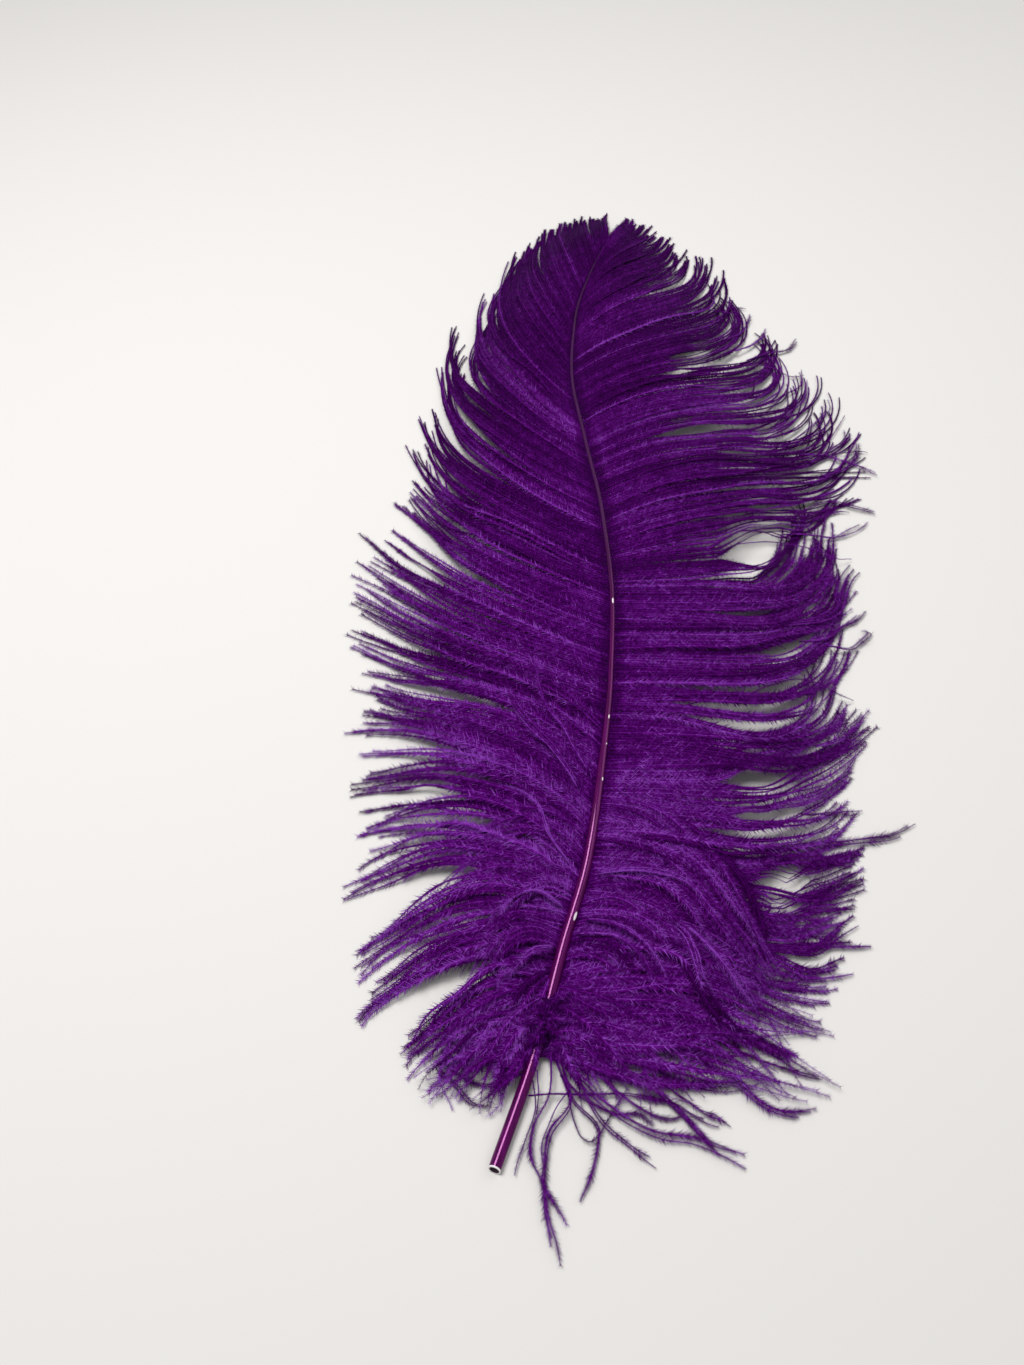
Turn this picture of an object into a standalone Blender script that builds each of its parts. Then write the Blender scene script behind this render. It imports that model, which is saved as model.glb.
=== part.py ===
"""Dyed ostrich wing plume, lying on a table with its outer side up.

The shaft grew as one piece: a hollow quill, snipped off at a slant, then a rachis that bows up off the table and
tapers to a fine tip. A vane grows from each side of it. Each vane is a draped sheet that is joined near the shaft and parts
into pointed locks, and its lowest locks are long thin wisps.

Metres. +Y runs from the cut end to the tip, +X to the right seen from above, +Z up from the table. The origin is on
the table, under the middle of the feather.
"""

import bisect
import math
import random

import bmesh
import bpy
from mathutils import Vector

# Where the quill's cut end lies. All the places along and across the feather are counted from it.
CUT_END_X = -0.076
CUT_END_Y = -0.305

# The shaft: distance along, distance across, height of its axis, radius.
SHAFT = (
    (0.000, 0.0000, 0.0027, 0.0027),
    (0.045, 0.0170, 0.0045, 0.0027),
    (0.090, 0.0300, 0.0075, 0.0026),
    (0.130, 0.0425, 0.0103, 0.0024),
    (0.180, 0.0515, 0.0133, 0.0019),
    (0.230, 0.0582, 0.0155, 0.0014),
    (0.285, 0.0615, 0.0165, 0.0013),
    (0.340, 0.0590, 0.0162, 0.0012),
    (0.400, 0.0515, 0.0148, 0.0011),
    (0.460, 0.0455, 0.0122, 0.0010),
    (0.520, 0.0500, 0.0090, 0.0008),
    (0.570, 0.0620, 0.0062, 0.0006),
    (0.618, 0.0790, 0.0040, 0.0004),
)
SHAFT_LENGTH = SHAFT[-1][0]
SHAFT_SIDES = 12
SHAFT_STATIONS = 34
SHAFT_FLATNESS = 0.90
BORE_DEPTH = 0.050
BORE_STATIONS = 4
QUILL_WALL = 0.0005
CUT_SLANT = 0.38

# How the barbs lie, from the foot of each vane to its top. Each row: where the barb grows on the shaft, the angle at
# which it leaves (0 straight out, 90 toward the tip), how far out and how far toward the feather's tip its own tip
# lies, the angle at which it arrives there, how much of its length is joined to its neighbours, and how much of its
# place a lock fills where it is free.
RIGHT_BARBS = (
    (0.048, -100, 0.003, -0.079, -76, 0.10, 0.30),
    (0.052, -48, 0.020, -0.060, -122, 0.10, 0.16),
    (0.056, -40, 0.048, -0.050, -34, 0.10, 0.16),
    (0.060, -26, 0.088, -0.056, -28, 0.10, 0.20),
    (0.064, -12, 0.113, -0.042, -6, 0.12, 0.30),
    (0.072, 14, 0.112, -0.028, -4, 0.35, 0.85),
    (0.084, 32, 0.112, -0.026, -2, 0.48, 0.90),
    (0.098, 22, 0.116, -0.022, 6, 0.50, 0.90),
    (0.114, 10, 0.124, -0.016, 10, 0.50, 0.90),
    (0.132, 3, 0.136, 0.003, 16, 0.50, 0.90),
    (0.155, -2, 0.134, 0.013, 26, 0.48, 0.90),
    (0.176, -2, 0.138, 0.021, 18, 0.50, 0.90),
    (0.200, -4, 0.142, 0.026, 20, 0.52, 0.90),
    (0.224, -2, 0.142, 0.033, 28, 0.52, 0.90),
    (0.250, -4, 0.144, 0.038, 36, 0.52, 0.90),
    (0.276, -6, 0.140, 0.050, 54, 0.50, 0.90),
    (0.296, 2, 0.124, 0.048, 70, 0.46, 0.90),
    (0.312, 20, 0.158, 0.036, 4, 0.46, 0.90),
    (0.338, 28, 0.174, 0.040, 4, 0.48, 0.90),
    (0.366, 31, 0.172, 0.052, 26, 0.50, 0.90),
    (0.392, 36, 0.154, 0.080, 56, 0.52, 0.90),
    (0.436, 40, 0.136, 0.088, 62, 0.56, 0.90),
    (0.470, 42, 0.122, 0.094, 62, 0.62, 0.90),
    (0.505, 48, 0.098, 0.082, 50, 0.70, 0.90),
    (0.547, 54, 0.070, 0.066, 38, 0.78, 0.90),
    (0.576, 52, 0.042, 0.057, 48, 0.80, 0.90),
    (0.612, 58, 0.016, 0.031, 64, 0.80, 0.90),
)
LEFT_BARBS = (
    (0.048, -22, 0.020, -0.026, -44, 0.12, 0.30),
    (0.054, -8, 0.037, -0.029, -54, 0.12, 0.30),
    (0.060, 6, 0.052, -0.029, -56, 0.16, 0.50),
    (0.068, 26, 0.062, -0.028, -62, 0.35, 0.85),
    (0.086, 36, 0.078, -0.024, -52, 0.45, 0.90),
    (0.106, 46, 0.094, 0.004, -38, 0.50, 0.90),
    (0.132, 50, 0.110, 0.030, -20, 0.50, 0.90),
    (0.170, 38, 0.124, 0.052, 4, 0.50, 0.90),
    (0.200, 26, 0.130, 0.062, 18, 0.50, 0.90),
    (0.230, 20, 0.134, 0.076, 28, 0.50, 0.90),
    (0.260, 18, 0.132, 0.092, 34, 0.50, 0.90),
    (0.292, 20, 0.124, 0.106, 44, 0.50, 0.90),
    (0.325, 23, 0.114, 0.126, 62, 0.50, 0.90),
    (0.356, 27, 0.100, 0.142, 80, 0.52, 0.90),
    (0.386, 33, 0.080, 0.146, 86, 0.55, 0.90),
    (0.416, 40, 0.058, 0.150, 90, 0.60, 0.90),
    (0.448, 48, 0.043, 0.146, 92, 0.65, 0.90),
    (0.480, 60, 0.031, 0.134, 92, 0.68, 0.90),
    (0.510, 67, 0.021, 0.116, 90, 0.72, 0.90),
    (0.547, 72, 0.015, 0.091, 90, 0.78, 0.90),
    (0.576, 78, 0.007, 0.067, 94, 0.80, 0.90),
    (0.612, 90, -0.001, 0.036, 98, 0.80, 0.90),
)
ROOT_HANDLE = 0.40
TIP_HANDLE = 0.36

# The locks that each vane parts into: a few wisps at its foot, then locks that grow wider up the shaft.
WISPS = 5
WISP_FOOT = 0.046
WISP_STEP = 0.004
LOCKS = 30
LOCK_HEAD = 0.612
LOCK_SPREAD = 1.20
LOCK_STATIONS = (0.0, 0.09, 0.20, 0.32, 0.44, 0.55, 0.66, 0.76, 0.86, 0.94, 1.0)
SHORTEST_LOCK = 0.86
SLIT_SPREAD = 0.08
TIP_WIDTH = 0.08
SEED = 11

# How a vane drapes over the table, and how thick its sheet is.
GAP_TO_SHAFT = 0.0004
SHEET_THICKNESS = 0.0024
TIP_THICKNESS = 0.0010
RIDGE_HEIGHT = 0.0012
PUFF_HEIGHT = 0.0050
PUFFED_REACH = 0.10
TOUCHES_TABLE_AT = 0.86

SHAFT_COLOR = (0.10, 0.004, 0.085, 1.0)
VANE_COLOR = (0.065, 0.004, 0.115, 1.0)


def slopes(places, values):
    """Gives the slope at each place of a curve that passes through the values and doesn't overshoot them."""
    rises = [(b - a) / (q - p) for p, q, a, b in zip(places, places[1:], values, values[1:])]
    inner = [0.0 if a * b <= 0 else 2 * a * b / (a + b) for a, b in zip(rises, rises[1:])]
    return [rises[0]] + inner + [rises[-1]]


def read_at(rows, place):
    """Reads a table's values at a place between its rows, on a smooth curve."""
    places = [row[0] for row in rows]
    index = min(max(bisect.bisect_right(places, place) - 1, 0), len(rows) - 2)
    step = places[index + 1] - places[index]
    part = min(max((place - places[index]) / step, 0.0), 1.0)
    result = []
    for values in list(zip(*rows))[1:]:
        slope = slopes(places, values)
        rise = values[index + 1] - values[index]
        bend = (slope[index] * step - rise) * (1 - part) - (slope[index + 1] * step - rise) * part
        result.append(values[index] + rise * part + part * (1 - part) * bend)
    return result


def shaft_place(along):
    """Gives the shaft's axis point, its direction and its radius at a distance from the cut end."""
    across, height, radius = read_at(SHAFT, along)
    start = max(along - 0.002, 0.0)
    end = min(along + 0.002, SHAFT_LENGTH)
    before = read_at(SHAFT, start)
    after = read_at(SHAFT, end)
    direction = Vector((after[0] - before[0], end - start, after[1] - before[1])).normalized()
    return Vector((CUT_END_X + across, CUT_END_Y + along, height)), direction, radius


def barb_row(side, root):
    """Reads how a barb of one side (-1 left, 1 right) lies that grows at a given place on the shaft."""
    return read_at(RIGHT_BARBS if side > 0 else LEFT_BARBS, root)


def barb_point(side, root, part):
    """Gives a point on a barb, at a part of its length from its root to its tip."""
    leaves, out, up, arrives = barb_row(side, root)[:4]
    axis, direction, radius = shaft_place(root)
    outward = Vector((direction.y, -direction.x, 0.0)).normalized() * side
    start = axis + outward * (radius + GAP_TO_SHAFT)
    tip = start + Vector((side * out, up, 0.0))
    reach = math.hypot(out, up)
    leaves = math.radians(leaves)
    arrives = math.radians(arrives)
    first = start + Vector((side * math.cos(leaves), math.sin(leaves), 0.0)) * reach * ROOT_HANDLE
    last = tip - Vector((side * math.cos(arrives), math.sin(arrives), 0.0)) * reach * TIP_HANDLE
    rest = 1 - part
    point = start * rest ** 3 + first * 3 * rest ** 2 * part + last * 3 * rest * part ** 2 + tip * part ** 3
    drop = min(part / TOUCHES_TABLE_AT, 1.0)
    fall = drop * drop * (3 - 2 * drop)
    puff = PUFF_HEIGHT * math.sin(math.pi * drop) * min(reach / PUFFED_REACH, 1.0)
    point.z = axis.z * (1 - fall) + TIP_THICKNESS * fall + puff
    return point


def lock_edges():
    """Gives the places on the shaft where one lock ends and the next begins, from a vane's foot to its top."""
    wisps = [WISP_FOOT + WISP_STEP * index for index in range(WISPS)]
    foot = WISP_FOOT + WISP_STEP * WISPS
    return wisps + [foot + (LOCK_HEAD - foot) * (index / LOCKS) ** LOCK_SPREAD for index in range(LOCKS + 1)]


def seam(mesh, side, edge, split, length):
    """Makes the vertices that two neighbouring locks share, from the shaft to where they part."""
    return [mesh.verts.new(barb_point(side, edge, place * length)) for place in LOCK_STATIONS if place <= split]


def lock_side(mesh, side, middle, edge, length, shared):
    """Makes one long side of a lock: the vertices shared with its neighbour, then its own, closing on its tip."""
    column = list(shared)
    split = LOCK_STATIONS[len(shared) - 1]
    fill = barb_row(side, middle)[5]
    for place in LOCK_STATIONS[len(shared):]:
        free = (place - split) / (1 - split)
        width = fill * (1 - free) + TIP_WIDTH * free
        column.append(mesh.verts.new(barb_point(side, middle + (edge - middle) * width, place * length)))
    return column


def lock_ridge(mesh, side, middle, length):
    """Makes the vertices of the raised line along the middle of a lock."""
    column = []
    for place in LOCK_STATIONS:
        point = barb_point(side, middle, place * length)
        point.z += RIDGE_HEIGHT * min(place * 4, 1.0)
        column.append(mesh.verts.new(point))
    return column


def build_vane(name, side, material):
    """Builds one vane: its top as a sheet of locks, then the same sheet pushed down to give it a thickness."""
    mesh = bmesh.new()
    dice = random.Random(SEED + side)
    edges = lock_edges()
    lengths = [1.0 if index < WISPS else dice.uniform(SHORTEST_LOCK, 1.0) for index in range(len(edges) - 1)]
    seams = []
    for index, edge in enumerate(edges):
        beside = lengths[max(index - 1, 0):index + 1]
        split = barb_row(side, edge)[4]
        if index > WISPS:
            split += dice.uniform(-SLIT_SPREAD, SLIT_SPREAD)
        seams.append(seam(mesh, side, edge, split, sum(beside) / len(beside)))
    for index, length in enumerate(lengths):
        middle = (edges[index] + edges[index + 1]) / 2
        columns = (
            lock_side(mesh, side, middle, edges[index], length, seams[index]),
            lock_ridge(mesh, side, middle, length),
            lock_side(mesh, side, middle, edges[index + 1], length, seams[index + 1]),
        )
        for one, other in zip(columns, columns[1:]):
            for a, b, c, d in zip(one, one[1:], other[1:], other):
                mesh.faces.new((a, b, c, d))
    pushed = bmesh.ops.extrude_face_region(mesh, geom=list(mesh.faces), use_keep_orig=True)
    for item in pushed["geom"]:
        if isinstance(item, bmesh.types.BMVert):
            item.co.z = max(0.0, item.co.z - SHEET_THICKNESS)
    finish(name, mesh, material)


def ring(mesh, center, direction, radius):
    """Makes the vertices of one ring around the shaft, slightly lower than wide."""
    aside = Vector((direction.y, -direction.x, 0.0)).normalized()
    upward = aside.cross(direction).normalized() * SHAFT_FLATNESS
    turns = [2 * math.pi * index / SHAFT_SIDES for index in range(SHAFT_SIDES)]
    return [mesh.verts.new(center + (aside * math.cos(t) + upward * math.sin(t)) * radius) for t in turns]


def slant(ends, center, direction):
    """Leans the cut end's ring back at its top, so that the hollow shows from above."""
    for vertex in ends:
        vertex.co += direction * (vertex.co.z - center.z) * CUT_SLANT


def bridge(mesh, one, other):
    """Joins two rings with quads."""
    for a, b, c, d in zip(one, one[1:] + one[:1], other[1:] + other[:1], other):
        mesh.faces.new((a, b, c, d))


def build_shaft(material):
    """Builds the quill and rachis as one tapering tube, with the quill's hollow open at the cut end."""
    mesh = bmesh.new()
    outer = []
    for index in range(SHAFT_STATIONS + 1):
        center, direction, radius = shaft_place(SHAFT_LENGTH * index / SHAFT_STATIONS)
        outer.append(ring(mesh, center, direction, radius))
    inner = []
    for index in range(BORE_STATIONS + 1):
        center, direction, radius = shaft_place(BORE_DEPTH * index / BORE_STATIONS)
        inner.append(ring(mesh, center, direction, radius - QUILL_WALL))
    center, direction, _ = shaft_place(0.0)
    for rings in (outer, inner):
        slant(rings[0], center, direction)
        for one, other in zip(rings, rings[1:]):
            bridge(mesh, one, other)
    bridge(mesh, inner[0], outer[0])
    mesh.faces.new(outer[-1])
    mesh.faces.new(inner[-1])
    finish("shaft", mesh, material)


def finish(name, mesh, material):
    """Turns a mesh in the making into a named object with its material, faces outward and shaded smooth."""
    bmesh.ops.recalc_face_normals(mesh, faces=mesh.faces)
    data = bpy.data.meshes.new(name)
    mesh.to_mesh(data)
    mesh.free()
    data.materials.append(material)
    data.shade_smooth()
    data.set_sharp_from_angle(angle=math.radians(50))
    bpy.context.scene.collection.objects.link(bpy.data.objects.new(name, data))


def make_material(name, color, roughness):
    """Makes a plain material of one colour."""
    material = bpy.data.materials.new(name)
    material.use_nodes = True
    surface = material.node_tree.nodes["Principled BSDF"]
    surface.inputs["Base Color"].default_value = color
    surface.inputs["Roughness"].default_value = roughness
    surface.inputs["Metallic"].default_value = 0.0
    return material


def main():
    """Clears the scene and builds the feather."""
    for old in list(bpy.data.objects):
        bpy.data.objects.remove(old)
    build_shaft(make_material("dyed_quill", SHAFT_COLOR, 0.25))
    barbs = make_material("dyed_barbs", VANE_COLOR, 0.85)
    build_vane("left_vane", -1, barbs)
    build_vane("right_vane", 1, barbs)


main()
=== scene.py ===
"""The finished look of a dyed ostrich wing plume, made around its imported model.

The plume lies with its outer side up. Several hundred barbs grow from each side of the shaft, bend the way
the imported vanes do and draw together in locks, and each barb carries a fringe of barbules. The quill is
glossy and hollow, snipped off at a slant, and its dye leaves a white rim at the cut and a few bare chips.
"""

import logging
import math
from dataclasses import dataclass, field
from enum import Enum

import bpy
import numpy as np
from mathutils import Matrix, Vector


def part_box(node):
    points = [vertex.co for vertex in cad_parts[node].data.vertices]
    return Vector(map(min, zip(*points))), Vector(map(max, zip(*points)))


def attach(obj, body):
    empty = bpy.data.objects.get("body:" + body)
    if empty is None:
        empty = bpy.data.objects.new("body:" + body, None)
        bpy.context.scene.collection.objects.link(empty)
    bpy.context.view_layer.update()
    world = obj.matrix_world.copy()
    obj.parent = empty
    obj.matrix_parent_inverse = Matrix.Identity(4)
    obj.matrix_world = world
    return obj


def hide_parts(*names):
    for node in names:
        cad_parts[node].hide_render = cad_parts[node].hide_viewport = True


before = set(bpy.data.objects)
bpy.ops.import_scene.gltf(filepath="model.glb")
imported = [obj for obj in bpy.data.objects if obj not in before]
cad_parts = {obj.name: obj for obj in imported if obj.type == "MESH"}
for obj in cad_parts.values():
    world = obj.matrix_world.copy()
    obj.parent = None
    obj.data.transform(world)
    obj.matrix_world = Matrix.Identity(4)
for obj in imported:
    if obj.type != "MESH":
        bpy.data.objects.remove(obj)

Color = tuple[float, float, float]
Rows = tuple[tuple[float, ...], ...]
Socket = bpy.types.NodeSocket

LOG = logging.getLogger("plume")

# The shaft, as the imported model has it: distance along, distance across, height of its axis, radius.
SHAFT = (
    (0.000, 0.0000, 0.0027, 0.0027),
    (0.045, 0.0170, 0.0045, 0.0027),
    (0.090, 0.0300, 0.0075, 0.0026),
    (0.130, 0.0425, 0.0103, 0.0024),
    (0.180, 0.0515, 0.0133, 0.0019),
    (0.230, 0.0582, 0.0155, 0.0014),
    (0.285, 0.0615, 0.0165, 0.0013),
    (0.340, 0.0590, 0.0162, 0.0012),
    (0.400, 0.0515, 0.0148, 0.0011),
    (0.460, 0.0455, 0.0122, 0.0010),
    (0.520, 0.0500, 0.0090, 0.0008),
    (0.570, 0.0620, 0.0062, 0.0006),
    (0.618, 0.0790, 0.0040, 0.0004),
)

# Where the dye has chipped off the quill: how far along, at which angle around it, half its length and half
# its width.
CHIPS = (
    (0.276, 81.0, 0.0020, 0.0005),
    (0.205, 63.0, 0.0013, 0.0004),
    (0.190, 58.0, 0.0006, 0.0003),
    (0.171, 52.0, 0.0011, 0.0004),
    (0.104, 54.0, 0.0024, 0.0007),
)

# How the barbs of each vane lie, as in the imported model. Each row: where the barb grows on the shaft, the
# angle at which it leaves (0 straight out, 90 toward the tip), how far out and how far toward the feather's
# tip its own tip lies, the angle at which it arrives there, and how much of its length is joined to its
# neighbours.
RIGHT_BARBS = (
    (0.048, -100, 0.003, -0.079, -76, 0.10),
    (0.052, -48, 0.020, -0.060, -122, 0.10),
    (0.056, -40, 0.048, -0.050, -34, 0.10),
    (0.060, -26, 0.088, -0.056, -28, 0.10),
    (0.064, -12, 0.113, -0.042, -6, 0.12),
    (0.072, 14, 0.112, -0.028, -4, 0.35),
    (0.084, 32, 0.112, -0.026, -2, 0.48),
    (0.098, 22, 0.116, -0.022, 6, 0.50),
    (0.114, 10, 0.124, -0.016, 10, 0.50),
    (0.132, 3, 0.136, 0.003, 16, 0.50),
    (0.155, -2, 0.134, 0.013, 26, 0.48),
    (0.176, -2, 0.138, 0.021, 18, 0.50),
    (0.200, -4, 0.142, 0.026, 20, 0.52),
    (0.224, -2, 0.142, 0.033, 28, 0.52),
    (0.250, -4, 0.144, 0.038, 36, 0.52),
    (0.276, -6, 0.140, 0.050, 54, 0.50),
    (0.296, 2, 0.124, 0.048, 70, 0.46),
    (0.312, 20, 0.158, 0.036, 4, 0.46),
    (0.338, 28, 0.174, 0.040, 4, 0.48),
    (0.366, 31, 0.172, 0.052, 26, 0.50),
    (0.392, 36, 0.154, 0.080, 56, 0.52),
    (0.436, 40, 0.136, 0.088, 62, 0.56),
    (0.470, 42, 0.122, 0.094, 62, 0.62),
    (0.505, 48, 0.098, 0.082, 50, 0.70),
    (0.547, 54, 0.070, 0.066, 38, 0.78),
    (0.576, 52, 0.042, 0.057, 48, 0.80),
    (0.612, 58, 0.016, 0.031, 64, 0.80),
)
LEFT_BARBS = (
    (0.048, -22, 0.020, -0.026, -44, 0.12),
    (0.054, -8, 0.037, -0.029, -54, 0.12),
    (0.060, 6, 0.052, -0.029, -56, 0.16),
    (0.068, 26, 0.062, -0.028, -62, 0.35),
    (0.086, 36, 0.078, -0.024, -52, 0.45),
    (0.106, 46, 0.094, 0.004, -38, 0.50),
    (0.132, 50, 0.110, 0.030, -20, 0.50),
    (0.170, 38, 0.124, 0.052, 4, 0.50),
    (0.200, 26, 0.130, 0.062, 18, 0.50),
    (0.230, 20, 0.134, 0.076, 28, 0.50),
    (0.260, 18, 0.132, 0.092, 34, 0.50),
    (0.292, 20, 0.124, 0.106, 44, 0.50),
    (0.325, 23, 0.114, 0.126, 62, 0.50),
    (0.356, 27, 0.100, 0.142, 80, 0.52),
    (0.386, 33, 0.080, 0.146, 86, 0.55),
    (0.416, 40, 0.058, 0.150, 90, 0.60),
    (0.448, 48, 0.043, 0.146, 92, 0.65),
    (0.480, 60, 0.031, 0.134, 92, 0.68),
    (0.510, 67, 0.021, 0.116, 90, 0.72),
    (0.547, 72, 0.015, 0.091, 90, 0.78),
    (0.576, 78, 0.007, 0.067, 94, 0.80),
    (0.612, 90, -0.001, 0.036, 98, 0.80),
)

# How far the ends of a barb's curve reach toward its middle, over the straight distance.
ROOT_HANDLE = 0.40
TIP_HANDLE = 0.36

# How far from the shaft's axis a barb starts, over the shaft's radius.
START_DEPTH = 0.8

# The vane's sheet: how high it puffs up, in barbs of at least which reach, where along a barb it comes down
# to the table and its height there.
PUFF_HEIGHT = 0.0050
PUFFED_REACH = 0.10
TOUCHES_TABLE_AT = 0.86
TIP_HEIGHT = 0.0010

# The least height of a barb's middle line, and of any point of the down.
LOWEST_LINE = 0.0008
LOWEST_POINT = 0.0002

# The stations along a barb, closer together toward its tip.
PARTS = 1 - (1 - np.linspace(0, 1, 25)) ** 1.25

# How the barbs change along the shaft: where, length of the barbules, height of the loose layers above the
# sheet, sideways wander of a lock, how many degrees the tips hook toward the feather's tip, and darkness.
FLUFF = (
    (0.045, 0.0036, 0.0060, 0.0070, 0.0, -0.50),
    (0.090, 0.0040, 0.0055, 0.0060, 2.0, -0.45),
    (0.140, 0.0040, 0.0048, 0.0052, 18.0, -0.20),
    (0.220, 0.0037, 0.0036, 0.0046, 34.0, 0.20),
    (0.310, 0.0033, 0.0030, 0.0034, 42.0, 0.70),
    (0.366, 0.0031, 0.0027, 0.0032, 54.0, 1.00),
    (0.440, 0.0030, 0.0022, 0.0024, 40.0, 1.40),
    (0.540, 0.0031, 0.0016, 0.0010, 20.0, 1.90),
    (0.620, 0.0030, 0.0010, 0.0006, 6.0, 2.00),
)

# Slits between the right vane's locks, through which the table shows: where on the shaft, where along the
# barbs the slit opens and where it closes, and half its width.
RIGHT_SLITS = (
    (0.445, 0.50, 0.64, 0.0012),
    (0.437, 0.37, 0.63, 0.0022),
    (0.427, 0.37, 0.50, 0.0013),
    (0.411, 0.46, 0.64, 0.0012),
    (0.395, 0.52, 0.70, 0.0016),
    (0.387, 0.27, 0.40, 0.0010),
    (0.380, 0.22, 0.53, 0.0015),
    (0.377, 0.58, 0.72, 0.0014),
    (0.360, 0.40, 0.61, 0.0021),
    (0.3176, 0.53, 0.70, 0.0014),
    (0.3155, 0.40, 0.53, 0.0012),
    (0.2995, 0.40, 0.79, 0.0050),
    (0.202, 0.42, 0.54, 0.0010),
    (0.172, 0.41, 0.71, 0.0027),
    (0.158, 0.46, 0.60, 0.0018),
    (0.144, 0.48, 0.60, 0.0013),
    (0.131, 0.63, 0.82, 0.0028),
    (0.1256, 0.60, 0.76, 0.0020),
    (0.1086, 0.74, 0.90, 0.0020),
    (0.093, 0.70, 0.86, 0.0016),
)

# Loose barbs that lie over the lower half and arch down across it. Each row: where one grows, the angle at
# which it leaves, how far out and how far toward the feather's tip its own tip lies, and the angle at which
# it arrives.
RIGHT_ARCHES = (
    (0.080, 20, 0.034, -0.024, -100),
    (0.092, 14, 0.046, -0.034, -88),
    (0.106, 8, 0.060, -0.044, -72),
    (0.120, 6, 0.076, -0.052, -64),
    (0.142, 0, 0.078, -0.072, -72),
    (0.170, -4, 0.074, -0.096, -84),
)
LEFT_ARCHES = (
    (0.078, 20, 0.030, -0.018, -62),
    (0.095, 26, 0.046, -0.016, -62),
    (0.115, 34, 0.062, -0.010, -50),
    (0.140, 44, 0.076, 0.012, -30),
    (0.170, 46, 0.086, 0.032, -10),
    (0.200, 40, 0.092, 0.048, 5),
)


class Kind(Enum):
    """A kind of single strand.

    Each holds its number of barbs, how far they part, the length of its barbules, its paleness, how far it
    rises and how high it starts.
    """

    HAIR = (1, 0.0, 0.0016, 0.30, 0.0, 0.0040)
    FORK = (2, 0.0009, 0.0021, 0.34, 0.0, 0.0040)
    BRUSH = (3, 0.0011, 0.0024, 0.38, 0.0, 0.0040)
    BAND = (4, 0.0020, 0.0026, 0.44, 0.0010, 0.0070)
    # These strands are painted pale: painted light where the ridges of the arches catch it.
    RIDGE = (3, 0.0013, 0.0023, 0.74, 0.0118, 0.0085)
    # These strands are nearly black: painted shadow in the folds between the arches.
    SHADE = (5, 0.0018, 0.0028, 0.02, 0.0102, 0.0060)
    OVER = (1, 0.0, 0.0014, 0.30, 0.0070, 0.0090)
    CREST = (3, 0.0014, 0.0025, 0.62, 0.0150, 0.0130)


MILLIMETRES_IN_METRE = 1000

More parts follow.
